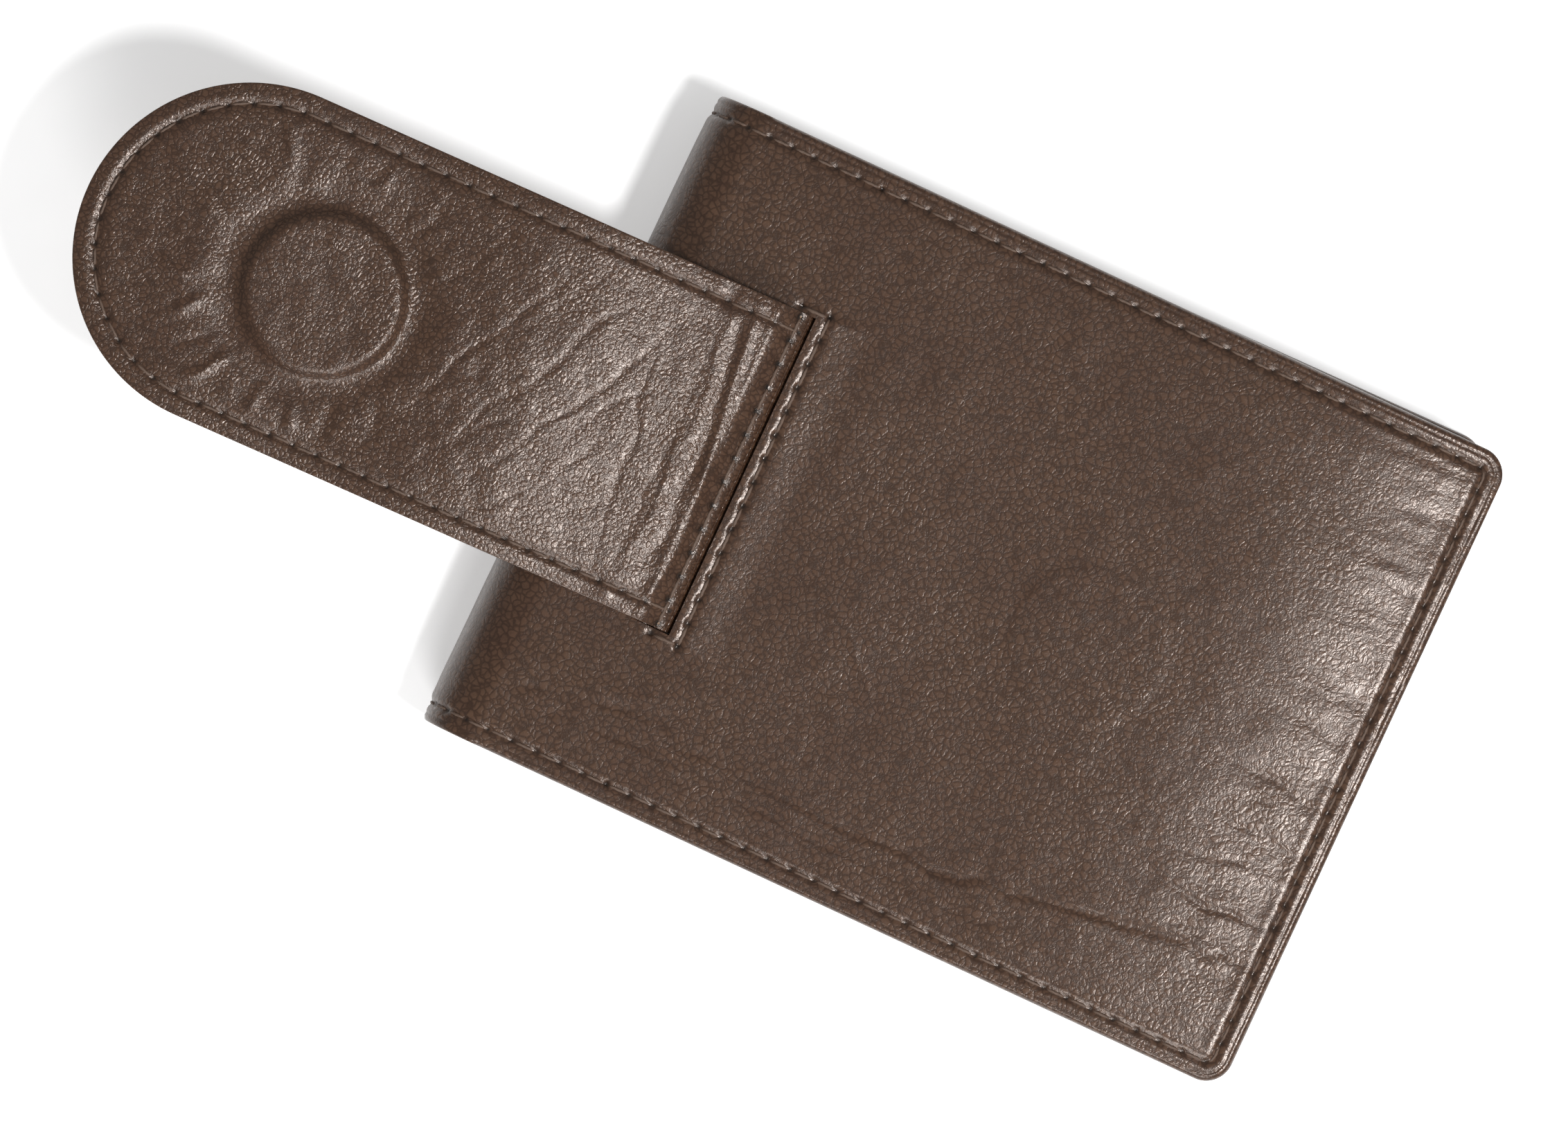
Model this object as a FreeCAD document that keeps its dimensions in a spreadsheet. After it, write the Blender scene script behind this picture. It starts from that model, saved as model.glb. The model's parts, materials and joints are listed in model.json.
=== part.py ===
import FreeCAD, Part
import Sketcher
import math
import os

# A closed leather billfold whose outer strap folds over the front cover and clips notes
# under a magnet. X runs from the fold (-X) to the open edge (+X), Y along the fold and
# Z up. The origin is the middle of the face that the closed billfold rests on.
# The strap is drawn open, lifted a little off the cover.

doc = FreeCAD.newDocument("Billfold")

# Driving sizes, in millimetres and degrees.
sizes = [
    ("wallet_width", 109, "closed, from the fold to the open edge"),
    ("wallet_height", 86, "along the fold"),
    ("leaf_step", 2.4, "how much shorter the lower leaf is at the open edge"),
    ("corner_radius", 3.5, "outer corners at the open edge"),
    ("cover_leather", 1.2, "outer leather"),
    ("board_thickness", 1, "stiffener between cover and inner panel"),
    ("panel_leather", 0.8, "inner panel and fold lining"),
    ("pocket_leather", 0.6, "front wall of a card pocket"),
    ("card_gap", 0.8, "room for one 0.76 card in a pocket"),
    ("pocket_tiers", 3, "pockets stacked on each leaf"),
    ("leaf_gap", 0.3, "between the two closed leaves"),
    ("hem_width", 3.4, "turned edge of a cover, outside its board"),
    ("board_clearance", 0.2, "between a board and the turned edge"),
    ("panel_inset", 0.4, "inner panel's edge inside the cover's edge"),
    ("seam_inset", 2.4, "edge stitching from the cover's edge"),
    ("spine_gap", 0.95, "slot between neighbouring strips of the fold"),
    ("spine_step", 60, "degrees that each bend of the fold opens"),
    ("lining_clearance", 0.05, "between the fold's cover and its lining"),
    ("card_width", 85.6, "standard card, long side"),
    ("card_height", 54, "standard card, short side"),
    ("card_play", 1, "spare room at each side of a card"),
    ("pocket_inset", 4.2, "pocket block from the leaf's three free edges"),
    ("pocket_fold_inset", 2.6, "pocket block from the start of the fold"),
    ("pocket_rim", 2.2, "sewn edge below a pocket's cards"),
    ("card_show", 10.5, "how far a card stands out of its pocket"),
    ("pocket_stagger", 12, "step from one pocket's mouth to the next"),
    ("window_border", 6.5, "leather around the clear window"),
    ("film_thickness", 0.3, "clear window film"),
    ("film_lap", 2, "film behind the window's border"),
    ("strap_width", 43, "strap across"),
    ("strap_length", 84, "from the bend to the round tip"),
    ("strap_leather", 1, "each face of the strap"),
    ("strap_core", 0.6, "stiffener between the strap's faces"),
    ("core_inset", 0.4, "strap core inside the strap's edge"),
    ("strap_bend_x", 18.5, "strap's bend from the fold's outer edge"),
    ("strap_bend_gap", 0.5, "strap's rigid end from the bend's axis"),
    ("strap_seat", 0.2, "open strap above the cover, at the bend"),
    ("strap_over", 0.1, "bend's axis above the strap"),
    ("strap_lift", 5, "degrees that the open strap rises"),
    ("strap_seam_inset", 2.4, "strap stitching from its edge"),
    ("slit_x", 23.4, "slit's lip from the fold's outer edge"),
    ("slit_width", 1.4, "slit across"),
    ("slit_margin", 0.3, "slit beyond each side of the strap's root"),
    ("root_leather", 1.1, "strap root where it passes through the slit"),
    ("root_top", 1.6, "strap root on the cover"),
    ("root_clearance", 0.1, "strap root to the slit and cover"),
    ("root_tongue", 8, "strap root under the cover"),
    ("lip_seam", 1.5, "stitching on the slit's lip, from the slit"),
    ("root_seam", 1, "stitching across the strap root, from the slit"),
    ("root_bend_gap", 0.7, "strap root's end from the bend's axis"),
    ("magnet_diameter", 18, "both magnets"),
    ("strap_magnet_height", 2, "magnet in the strap"),
    ("base_magnet_height", 0.8, "magnet in the upper board"),
    ("magnet_clearance", 0.15, "round each magnet"),
    ("magnet_reach", 52.2, "strap magnet from the bend"),
    ("bump_wall", 1.2, "leather round the strap magnet"),
    ("bump_round", 1, "rounding of the leather over the magnet"),
    ("stitch_pitch", 3.15, "from hole to hole"),
    ("stitch_share", 0.8, "share of the pitch that a stitch covers"),
    ("thread_radius", 0.19, "sewing thread"),
    ("groove_width", 0.7, "channel that the stitches lie in"),
    ("groove_depth", 0.42, "channel that the stitches lie in"),
    ("thread_sink", 0.02, "thread below the leather's face"),
]
sheet = doc.addObject("Spreadsheet::Sheet", "Sizes")
for row, (alias, number, note) in enumerate(sizes, 1):
    sheet.set(f"A{row}", alias)
    sheet.set(f"B{row}", str(number))
    sheet.set(f"C{row}", note)
    sheet.setAlias(f"B{row}", alias)
doc.recompute()

# What follows from the driving sizes.
fits = [
    ("tier", "Sizes.pocket_leather + Sizes.card_gap"),
    ("panel_base", "Sizes.cover_leather + Sizes.board_thickness"),
    ("pocket_base", "panel_base + Sizes.panel_leather"),
    ("leaf_thickness", "pocket_base + Sizes.pocket_tiers * tier"),
    ("closed_height", "2 * leaf_thickness + Sizes.leaf_gap"),
    ("fold_radius", "closed_height / 2"),
    ("fold_edge", "-Sizes.wallet_width / 2"),
    ("fold_start", "fold_edge + fold_radius"),
    ("half_height", "Sizes.wallet_height / 2"),
    ("upper_open", "Sizes.wallet_width / 2"),
    ("lower_open", "Sizes.wallet_width / 2 - Sizes.leaf_step"),
    ("card_room", "Sizes.card_width + 2 * Sizes.card_play"),
    ("pocket_depth", "Sizes.card_height - Sizes.card_show"),
    ("pocket_low", "Sizes.pocket_inset - half_height"),
    ("strap_half", "Sizes.strap_width / 2"),
    ("strap_near", "-Sizes.strap_bend_gap"),
    ("strap_far", "-Sizes.strap_length + strap_half"),
    ("strap_thickness", "2 * Sizes.strap_leather + Sizes.strap_core"),
    ("bend_x", "fold_edge + Sizes.strap_bend_x"),
    ("bend_z", "closed_height + Sizes.strap_seat + strap_thickness + Sizes.strap_over"),
    ("face_base", "-Sizes.strap_over - Sizes.strap_leather"),
    ("core_base", "face_base - Sizes.strap_core"),
    ("back_base", "core_base - Sizes.strap_leather"),
    ("bump_height", "Sizes.strap_magnet_height - Sizes.strap_core"),
    ("magnet_radius", "Sizes.magnet_diameter / 2"),
    ("magnet_hole", "magnet_radius + Sizes.magnet_clearance"),
    ("base_magnet_x", "bend_x + Sizes.magnet_reach"),
    ("patch_height", "Sizes.board_thickness - Sizes.base_magnet_height"),
    ("lip_x", "fold_edge + Sizes.slit_x"),
    ("slit_far", "lip_x - Sizes.slit_width"),
    ("root_half", "strap_half - Sizes.slit_margin"),
    ("tongue_end", "lip_x + Sizes.root_tongue"),
]
derived = doc.addObject("Spreadsheet::Sheet", "Fits")
for row, (alias, formula) in enumerate(fits, 1):
    derived.set(f"A{row}", alias)
    derived.set(f"B{row}", f"={formula}")
    derived.setAlias(f"B{row}", alias)
doc.recompute()


def value(expression):
    return float(sheet.evalExpression(expression))


def size(alias):
    return value(f"Sizes.{alias}")


def fit(alias):
    return value(f"Fits.{alias}")


# Sketches: every point is tied to the sheets.


def new_body(label):
    body = doc.addObject("PartDesign::Body", label)
    body.Label = label
    return body


def new_sketch(body, role, height=None):
    sketch = body.newObject("Sketcher::SketchObject", f"{body.Name}_sketch")
    plane = next(f for f in body.Origin.OriginFeatures if f.Role == role)
    sketch.AttachmentSupport = (plane, [""])
    sketch.MapMode = "FlatFace"
    if height:
        sketch.setExpression("AttachmentOffset.Base.z", height)
    return sketch


def tie(sketch, shape, point, x, y):
    for kind, expression in (("DistanceX", x), ("DistanceY", y)):
        rule = Sketcher.Constraint(kind, -1, 1, shape, point, value(expression))
        index = sketch.addConstraint(rule)
        sketch.setExpression(f"Constraints[{index}]", expression)


def polygon(sketch, corners):
    points = [FreeCAD.Vector(value(x), value(y), 0) for x, y in corners]
    first = sketch.GeometryCount
    for start, end in zip(points, points[1:] + points[:1]):
        sketch.addGeometry(Part.LineSegment(start, end), False)
    for i, (x, y) in enumerate(corners):
        following = first + (i + 1) % len(corners)
        sketch.addConstraint(Sketcher.Constraint("Coincident", first + i, 2, following, 1))
        tie(sketch, first + i, 1, x, y)


def rectangle(sketch, left, right, low, high):
    polygon(sketch, [(left, low), (right, low), (right, high), (left, high)])


def circle(sketch, x, y, radius):
    centre = FreeCAD.Vector(value(x), value(y), 0)
    ring = sketch.addGeometry(Part.Circle(centre, FreeCAD.Vector(0, 0, 1), value(radius)), False)
    tie(sketch, ring, 3, x, y)
    rule = sketch.addConstraint(Sketcher.Constraint("Radius", ring, value(radius)))
    sketch.setExpression(f"Constraints[{rule}]", radius)


def tongue(sketch, near, far, half):
    # Two straight sides joined by a half circle about (far, 0), open end at near.
    width = value(half)
    a, b = value(near), value(far)
    end = Part.Circle(FreeCAD.Vector(b, 0, 0), FreeCAD.Vector(0, 0, 1), width)
    top = sketch.addGeometry(
        Part.LineSegment(FreeCAD.Vector(a, width, 0), FreeCAD.Vector(b, width, 0)), False
    )
    tip = sketch.addGeometry(Part.ArcOfCircle(end, math.pi / 2, 3 * math.pi / 2), False)
    bottom = sketch.addGeometry(
        Part.LineSegment(FreeCAD.Vector(b, -width, 0), FreeCAD.Vector(a, -width, 0)), False
    )
    root = sketch.addGeometry(
        Part.LineSegment(FreeCAD.Vector(a, -width, 0), FreeCAD.Vector(a, width, 0)), False
    )
    for one, end_one, other, end_other in (
        (top, 2, tip, 1),
        (tip, 2, bottom, 1),
        (bottom, 2, root, 1),
        (root, 2, top, 1),
    ):
        rule = Sketcher.Constraint("Coincident", one, end_one, other, end_other)
        sketch.addConstraint(rule)
    tie(sketch, tip, 3, far, "0")
    tie(sketch, top, 1, near, half)
    tie(sketch, root, 1, near, f"-({half})")
    tie(sketch, tip, 1, far, half)
    sketch.addConstraint(Sketcher.Constraint("Vertical", tip, 1, tip, 2))


def pad(body, sketch, length, midplane=False):
    feature = body.newObject("PartDesign::Pad", f"{body.Name}_pad")
    feature.Profile = sketch
    feature.setExpression("Length", length)
    if midplane:
        feature.SideType = "Symmetric"
    doc.recompute()
    return feature


def pocket(body, sketch, depth, upward=False):
    before = body.Shape.Volume
    feature = body.newObject("PartDesign::Pocket", f"{body.Name}_pocket")
    feature.Profile = sketch
    feature.setExpression("Length", depth)
    feature.Reversed = upward
    doc.recompute()
    if body.Shape.Volume >= before:
        raise ValueError(f"{body.Label}: a pocket cuts nothing")
    return feature


def fillet(body, radius, wanted):
    base = body.Tip
    names = [f"Edge{i}" for i, edge in enumerate(base.Shape.Edges, 1) if wanted(edge)]
    feature = body.newObject("PartDesign::Fillet", f"{body.Name}_fillet")
    feature.Base = (base, names)
    feature.setExpression("Radius", radius)
    doc.recompute()
    return feature


def upright_at(x):
    # Picks the straight edges along Z at the given X.
    def wanted(edge):
        box = edge.BoundBox
        flat = box.XLength < 1e-6 and box.YLength < 1e-6
        return flat and abs(box.XMin - x) < 1e-6

    return wanted


parts = []


def keep(piece, placement):
    piece.Placement = placement
    parts.append(piece)


# The upper leaf is the lower one turned over about the X axis, at the closed height.
lower_place = FreeCAD.Placement()
upper_place = FreeCAD.Placement(
    FreeCAD.Vector(0, 0, fit("closed_height")),
    FreeCAD.Rotation(FreeCAD.Vector(1, 0, 0), 180),
)
strap_place = FreeCAD.Placement(
    FreeCAD.Vector(fit("bend_x"), 0, fit("bend_z")),
    FreeCAD.Rotation(FreeCAD.Vector(0, 1, 0), size("strap_lift")),
)


# Stitches: rows of short thread lengths that lie in their channels.


def stitch_row(start, end):
    line = end - start
    count = max(1, round(line.Length / size("stitch_pitch")))
    step = line.Length / count
    line.normalize()
    long = step * size("stitch_share")
    radius = size("thread_radius")
    first = start + line * (step - long) / 2
    return [
        Part.makeCylinder(radius, long, first + line * step * i, line) for i in range(count)
    ]


def thread_depth():
    return size("thread_sink") + size("thread_radius")


def keep_stitches(label, threads, placement):
    piece = doc.addObject("Part::Feature", label)
    piece.Label = label
    piece.Shape = Part.makeCompound(threads)
    keep(piece, placement)


def leaf_seam(open_x):
    # Three sides of a leaf, from the fold round the open edge and back.
    seam_x = open_x - size("seam_inset")
    seam_y = fit("half_height") - size("seam_inset")
    level = thread_depth()
    corners = [
        FreeCAD.Vector(fit("fold_start"), seam_y, level),
        FreeCAD.Vector(seam_x, seam_y, level),
        FreeCAD.Vector(seam_x, -seam_y, level),
        FreeCAD.Vector(fit("fold_start"), -seam_y, level),
    ]
    return [t for a, b in zip(corners, corners[1:]) for t in stitch_row(a, b)]


# One leaf of the billfold, drawn as it lies at the bottom.


def half_slot():
    # Half of the gap between strips of the fold, as an angle at the leather's middle.
    middle = fit("fold_radius") - size("cover_leather") / 2
    return math.degrees(size("spine_gap") / 2 / middle)


def make_cover(label, open_x, placement, with_slit):
    body = new_body(label)
    sheet_sketch = new_sketch(body, "XY_Plane")
    rectangle(sheet_sketch, "Fits.fold_start", open_x, "-Fits.half_height", "Fits.half_height")
    pad(body, sheet_sketch, "Sizes.cover_leather")
    rim = new_sketch(body, "XY_Plane", "Sizes.cover_leather")
    rim_x, rim_y = f"({open_x} - Sizes.hem_width)", "(Fits.half_height - Sizes.hem_width)"
    polygon(
        rim,
        [
            ("Fits.fold_start", "-Fits.half_height"),
            (open_x, "-Fits.half_height"),
            (open_x, "Fits.half_height"),
            ("Fits.fold_start", "Fits.half_height"),
            ("Fits.fold_start", rim_y),
            (rim_x, rim_y),
            (rim_x, f"-{rim_y}"),
            ("Fits.fold_start", f"-{rim_y}"),
        ],
    )
    pad(body, rim, "Sizes.board_thickness")
    seam_groove(body, open_x)
    fillet(body, "Sizes.corner_radius", upright_at(value(open_x)))
    if with_slit:
        cut_slit(body)
    bend = new_sketch(body, "YZ_Plane", "Fits.fold_start")
    rectangle(bend, "-Fits.half_height", "Fits.half_height", "0", "Sizes.cover_leather")
    axis = Part.LineSegment(
        FreeCAD.Vector(0, fit("fold_radius"), 0), FreeCAD.Vector(1, fit("fold_radius"), 0)
    )
    line = bend.addGeometry(axis, True)
    bend.addConstraint(Sketcher.Constraint("Horizontal", line))
    tie(bend, line, 1, "0", "Fits.fold_radius")
    turn = body.newObject("PartDesign::Revolution", f"{label}_bend")
    turn.Profile = bend
    turn.ReferenceAxis = (bend, ["Axis0"])
    turn.Angle = size("spine_step") / 2 - half_slot()
    doc.recompute()
    if body.Shape.BoundBox.XMin >= fit("fold_start") - size("cover_leather"):
        turn.Reversed = True
        doc.recompute()
    keep(body, placement)


def seam_groove(body, open_x):
    # The stitches' channel on the outer face, round the three free sides.
    half = "Sizes.groove_width / 2"
    seam_x = f"{open_x} - Sizes.seam_inset"
    seam_y = "Fits.half_height - Sizes.seam_inset"
    wide_y, narrow_y = f"({seam_y} + {half})", f"({seam_y} - {half})"
    groove = new_sketch(body, "XY_Plane")
    polygon(
        groove,
        [
            ("Fits.fold_start", f"-{wide_y}"),
            (f"{seam_x} + {half}", f"-{wide_y}"),
            (f"{seam_x} + {half}", wide_y),
            ("Fits.fold_start", wide_y),
            ("Fits.fold_start", narrow_y),
            (f"{seam_x} - {half}", narrow_y),
            (f"{seam_x} - {half}", f"-{narrow_y}"),
            ("Fits.fold_start", f"-{narrow_y}"),
        ],
    )
    pocket(body, groove, "Sizes.groove_depth", upward=True)


def cut_slit(body):
    slit = new_sketch(body, "XY_Plane")
    rectangle(slit, "Fits.slit_far", "Fits.lip_x", "-Fits.strap_half", "Fits.strap_half")
    pocket(body, slit, "Sizes.cover_leather", upward=True)
    lip_seam = new_sketch(body, "XY_Plane")
    near = "Fits.lip_x + Sizes.lip_seam - Sizes.groove_width / 2"
    far = "Fits.lip_x + Sizes.lip_seam + Sizes.groove_width / 2"
    rectangle(lip_seam, near, far, "-Fits.strap_half", "Fits.strap_half")
    pocket(body, lip_seam, "Sizes.groove_depth", upward=True)


def make_board(label, open_x, placement, with_strap_fittings):
    body = new_body(label)
    outline = new_sketch(body, "XY_Plane", "Sizes.cover_leather")
    edge = "(Sizes.hem_width + Sizes.board_clearance)"
    half = f"(Fits.half_height - {edge})"
    rectangle(outline, "Fits.fold_start", f"{open_x} - {edge}", f"-{half}", half)
    pad(body, outline, "Sizes.board_thickness")
    if with_strap_fittings:
        magnet = new_sketch(body, "XY_Plane", "Sizes.cover_leather")
        circle(magnet, "Fits.base_magnet_x", "0", "Fits.magnet_hole")
        pocket(body, magnet, "Sizes.board_thickness", upward=True)
        room = new_sketch(body, "XY_Plane", "Sizes.cover_leather")
        rectangle(
            room,
            "Fits.slit_far - Sizes.board_clearance",
            "Fits.tongue_end + Sizes.board_clearance",
            "-Fits.strap_half",
            "Fits.strap_half",
        )
        pocket(body, room, "Sizes.board_thickness", upward=True)
    keep(body, placement)


def make_inner_panel(label, open_x, placement):
    body = new_body(label)
    outline = new_sketch(body, "XY_Plane", "Fits.panel_base")
    half = "(Fits.half_height - Sizes.panel_inset)"
    right = f"{open_x} - Sizes.panel_inset"
    rectangle(outline, "Fits.fold_start", right, f"-{half}", half)
    pad(body, outline, "Sizes.panel_leather")
    fillet(body, "Sizes.corner_radius - Sizes.panel_inset", upright_at(value(right)))
    keep(body, placement)


def pocket_sides(open_x):
    return "Fits.fold_start + Sizes.pocket_fold_inset", f"{open_x} - Sizes.pocket_inset"


def card_sides(open_x):
    # The card's room, in the middle of the pocket block.
    left, right = pocket_sides(open_x)
    middle = f"({left} + {right}) / 2"
    return f"{middle} - Fits.card_room / 2", f"{middle} + Fits.card_room / 2"


def mouth(tier):
    # Y of a tier's open edge; the front pocket is the lowest.
    steps = int(size("pocket_tiers")) - 1 - tier
    lowest = "Fits.pocket_low + Sizes.pocket_rim + Fits.pocket_depth"
    return f"({lowest} + {steps} * Sizes.pocket_stagger)"


def facing(side, low, high):
    # A span of Y, or its mirror image for the leaf that is turned over.
    return (low, high) if side > 0 else (f"-({high})", f"-({low})")


def make_pocket(label, tier, open_x, side, placement, window=False):
    base = f"(Fits.pocket_base + {tier} * Fits.tier)"
    body = new_body(label)
    left, right = pocket_sides(open_x)
    card_left, card_right = card_sides(open_x)
    top = mouth(tier)
    outline = new_sketch(body, "XY_Plane", base)
    rectangle(outline, left, right, *facing(side, "Fits.pocket_low", top))
    pad(body, outline, "Fits.tier")
    card_low = f"({top} - Fits.pocket_depth)"
    cards = new_sketch(body, "XY_Plane", base)
    past_top = f"{top} + Sizes.pocket_rim"
    rectangle(cards, card_left, card_right, *facing(side, card_low, past_top))
    pocket(body, cards, "Sizes.card_gap", upward=True)
    if tier < int(size("pocket_tiers")) - 1:
        # Below the cards the wall is hollow, down to its own sewn edge.
        void = new_sketch(body, "XY_Plane", base)
        low = "Fits.pocket_low + Sizes.pocket_rim"
        rectangle(
            void, card_left, card_right, *facing(side, low, f"{card_low} - Sizes.pocket_rim")
        )
        pocket(body, void, "Sizes.card_gap", upward=True)
    if window:
        cut_window(body, base, left, right, top, side)
    side_groove(body, base, left, right, top, side)
    keep(body, placement)


def window_box(left, right, top, lap):
    return (
        f"{left} + Sizes.window_border - {lap}",
        f"{right} - Sizes.window_border + {lap}",
        f"Fits.pocket_low + Sizes.window_border - {lap}",
        f"{top} - Sizes.window_border + {lap}",
    )


def cut_window(body, base, left, right, top, side):
    wall = f"{base} + Sizes.card_gap"
    hole = new_sketch(body, "XY_Plane", wall)
    x_low, x_high, y_low, y_high = window_box(left, right, top, "0")
    rectangle(hole, x_low, x_high, *facing(side, y_low, y_high))
    pocket(body, hole, "Sizes.pocket_leather", upward=True)
    lap = new_sketch(body, "XY_Plane", wall)
    x_low, x_high, y_low, y_high = window_box(left, right, top, "Sizes.film_lap")
    rectangle(lap, x_low, x_high, *facing(side, y_low, y_high))
    pocket(body, lap, "Sizes.film_thickness", upward=True)


def make_film(label, tier, open_x, side, placement):
    body = new_body(label)
    left, right = pocket_sides(open_x)
    sketch = new_sketch(
        body, "XY_Plane", f"Fits.pocket_base + {tier} * Fits.tier + Sizes.card_gap"
    )
    x_low, x_high, y_low, y_high = window_box(left, right, mouth(tier), "Sizes.film_lap")
    rectangle(sketch, x_low, x_high, *facing(side, y_low, y_high))
    pad(body, sketch, "Sizes.film_thickness")
    keep(body, placement)


def side_groove(body, base, left, right, top, side):
    # Channels for the stitches down both sides of the pocket's front.
    front = new_sketch(body, "XY_Plane", f"{base} + Fits.tier")
    for edge, sign in ((left, "+"), (right, "-")):
        near = f"{edge} {sign} (Sizes.pocket_rim - Sizes.groove_width) / 2"
        far = f"{edge} {sign} (Sizes.pocket_rim + Sizes.groove_width) / 2"
        first, last = (near, far) if sign == "+" else (far, near)
        rectangle(front, first, last, *facing(side, "Fits.pocket_low", top))
    pocket(body, front, "Sizes.groove_depth")


def pocket_seam(open_x, side):
    # Down both sides of the block: on each tier, the stretch that the next one leaves bare.
    left, right = (value(x) for x in pocket_sides(open_x))
    rim = size("pocket_rim") / 2
    threads = []
    tiers = int(size("pocket_tiers"))
    for tier in range(tiers):
        front = fit("pocket_base") + (tier + 1) * fit("tier") - thread_depth()
        low = value(mouth(tier + 1)) if tier + 1 < tiers else fit("pocket_low")
        for x in (left + rim, right - rim):
            start = FreeCAD.Vector(x, side * low, front)
            end = FreeCAD.Vector(x, side * value(mouth(tier)), front)
            threads += stitch_row(start, end)
    return threads


# The fold: two strips of cover leather and their lining, between the leaves.


def make_spine_strip(label, outer, thickness, first_step):
    body = new_body(label)
    section = new_sketch(body, "YZ_Plane")
    rectangle(
        section, "-Fits.half_height", "Fits.half_height", f"-({outer})", f"{thickness} - ({outer})"
    )
    turn = body.newObject("PartDesign::Revolution", f"{label}_bend")
    turn.Profile = section
    axis = next(f for f in body.Origin.OriginFeatures if f.Role == "Y_Axis")
    turn.ReferenceAxis = (axis, [""])
    turn.Angle = size("spine_step") - 2 * half_slot()
    doc.recompute()
    if body.Shape.BoundBox.XMin > -size("cover_leather"):
        turn.Reversed = True
        doc.recompute()
    start = (first_step + 1 / 2) * size("spine_step") + half_slot()
    keep(
        body,
        FreeCAD.Placement(
            FreeCAD.Vector(fit("fold_start"), 0, fit("fold_radius")),
            FreeCAD.Rotation(FreeCAD.Vector(0, 1, 0), start),
        ),
    )


# The strap, drawn flat with its bend's axis as the origin, towards -X.


def strap_plate(label, base, thickness, inset="0"):
    body = new_body(label)
    outline = new_sketch(body, "XY_Plane", base)
    tongue(outline, "Fits.strap_near", "Fits.strap_far", f"Fits.strap_half - {inset}")
    pad(body, outline, thickness)
    return body


def strap_seam_line(body, height, upward):
    # One channel round the strap, as far in from its edge as the stitches run.
    half = "Sizes.groove_width / 2"
    middle = "Fits.strap_half - Sizes.strap_seam_inset"
    channel = new_sketch(body, "XY_Plane", height)
    stop = f"Fits.strap_near - {half}"
    tongue(channel, stop, "Fits.strap_far", f"{middle} + {half}")
    tongue(channel, f"{stop} - {half}", "Fits.strap_far", f"{middle} - {half}")
    pocket(body, channel, "Sizes.groove_depth", upward)


def make_strap_face():
    body = strap_plate("strap_face", "Fits.face_base", "Sizes.strap_leather")
    bump = new_sketch(body, "XY_Plane", "-Sizes.strap_over")
    outer = "Fits.magnet_hole + Sizes.bump_wall"
    circle(bump, "-Sizes.magnet_reach", "0", outer)
    pad(body, bump, "Fits.bump_height")
    crown = fit("bump_height") - size("strap_over")

    def rim(edge):
        box = edge.BoundBox
        return abs(box.ZMin - crown) < 1e-6 and box.ZLength < 1e-6

    fillet(body, "Sizes.bump_round", rim)
    room = new_sketch(body, "XY_Plane", "Fits.face_base")
    circle(room, "-Sizes.magnet_reach", "0", "Fits.magnet_hole")
    pocket(body, room, "Fits.bump_height", upward=True)
    strap_seam_line(body, "-Sizes.strap_over", False)
    keep(body, strap_place)


def make_strap_core():
    body = strap_plate("strap_core", "Fits.core_base", "Sizes.strap_core", "Sizes.core_inset")
    hole = new_sketch(body, "XY_Plane", "Fits.core_base")
    circle(hole, "-Sizes.magnet_reach", "0", "Fits.magnet_hole")
    pocket(body, hole, "Sizes.strap_core", upward=True)
    keep(body, strap_place)


def make_strap_back():
    body = strap_plate("strap_back", "Fits.back_base", "Sizes.strap_leather")
    strap_seam_line(body, "Fits.back_base", True)
    keep(body, strap_place)


def strap_seam():
    half = fit("strap_half") - size("strap_seam_inset")
    near, far = fit("strap_near") - size("groove_width"), fit("strap_far")
    count = round(math.pi * half / size("stitch_pitch"))
    threads = []
    for level in (-size("strap_over") - thread_depth(), fit("back_base") + thread_depth()):
        corners = [FreeCAD.Vector(near, half, level)]
        for i in range(count + 1):
            turn = math.pi * i / count
            at = FreeCAD.Vector(far - half * math.sin(turn), half * math.cos(turn), level)
            corners.append(at)
        corners.append(FreeCAD.Vector(near, -half, level))
        threads += [t for a, b in zip(corners, corners[1:]) for t in stitch_row(a, b)]
    return threads


def make_disc(label, x, base, height, placement):
    disc = doc.addObject("Part::Cylinder", label)
    disc.Label = label
    disc.setExpression("Radius", "Fits.magnet_radius")
    disc.setExpression("Height", height)
    doc.recompute()
    own = FreeCAD.Placement(FreeCAD.Vector(value(x), 0, value(base)), FreeCAD.Rotation())
    keep(disc, placement.multiply(own))


def make_strap_root():
    # One piece of leather: a tongue under the cover, up through the slit, then on the cover.
    body = new_body("strap_root")
    section = new_sketch(body, "XZ_Plane")
    under = "Fits.closed_height - Sizes.cover_leather"
    over = "Fits.closed_height + Sizes.root_clearance"
    tongue_low = "Fits.closed_height - Fits.panel_base + Sizes.root_clearance"
    riser_near = "Fits.lip_x - Sizes.root_clearance"
    riser_far = f"{riser_near} - Sizes.root_leather"
    end = "Fits.bend_x + Sizes.root_bend_gap"
    polygon(
        section,
        [
            (riser_far, tongue_low),
            ("Fits.tongue_end", tongue_low),
            ("Fits.tongue_end", f"{under} - Sizes.root_clearance"),
            (riser_near, f"{under} - Sizes.root_clearance"),
            (riser_near, f"{over} + Sizes.root_top"),
            (end, f"{over} + Sizes.root_top"),
            (end, over),
            (riser_far, over),
        ],
    )
    pad(body, section, "2 * Fits.root_half", midplane=True)
    seam = new_sketch(body, "XY_Plane", f"{over} + Sizes.root_top")
    near = "Fits.slit_far - Sizes.root_seam - Sizes.groove_width / 2"
    far = "Fits.slit_far - Sizes.root_seam + Sizes.groove_width / 2"
    rectangle(seam, near, far, "-Fits.root_half", "Fits.root_half")
    pocket(body, seam, "Sizes.groove_depth")
    keep(body, lower_place)


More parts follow.
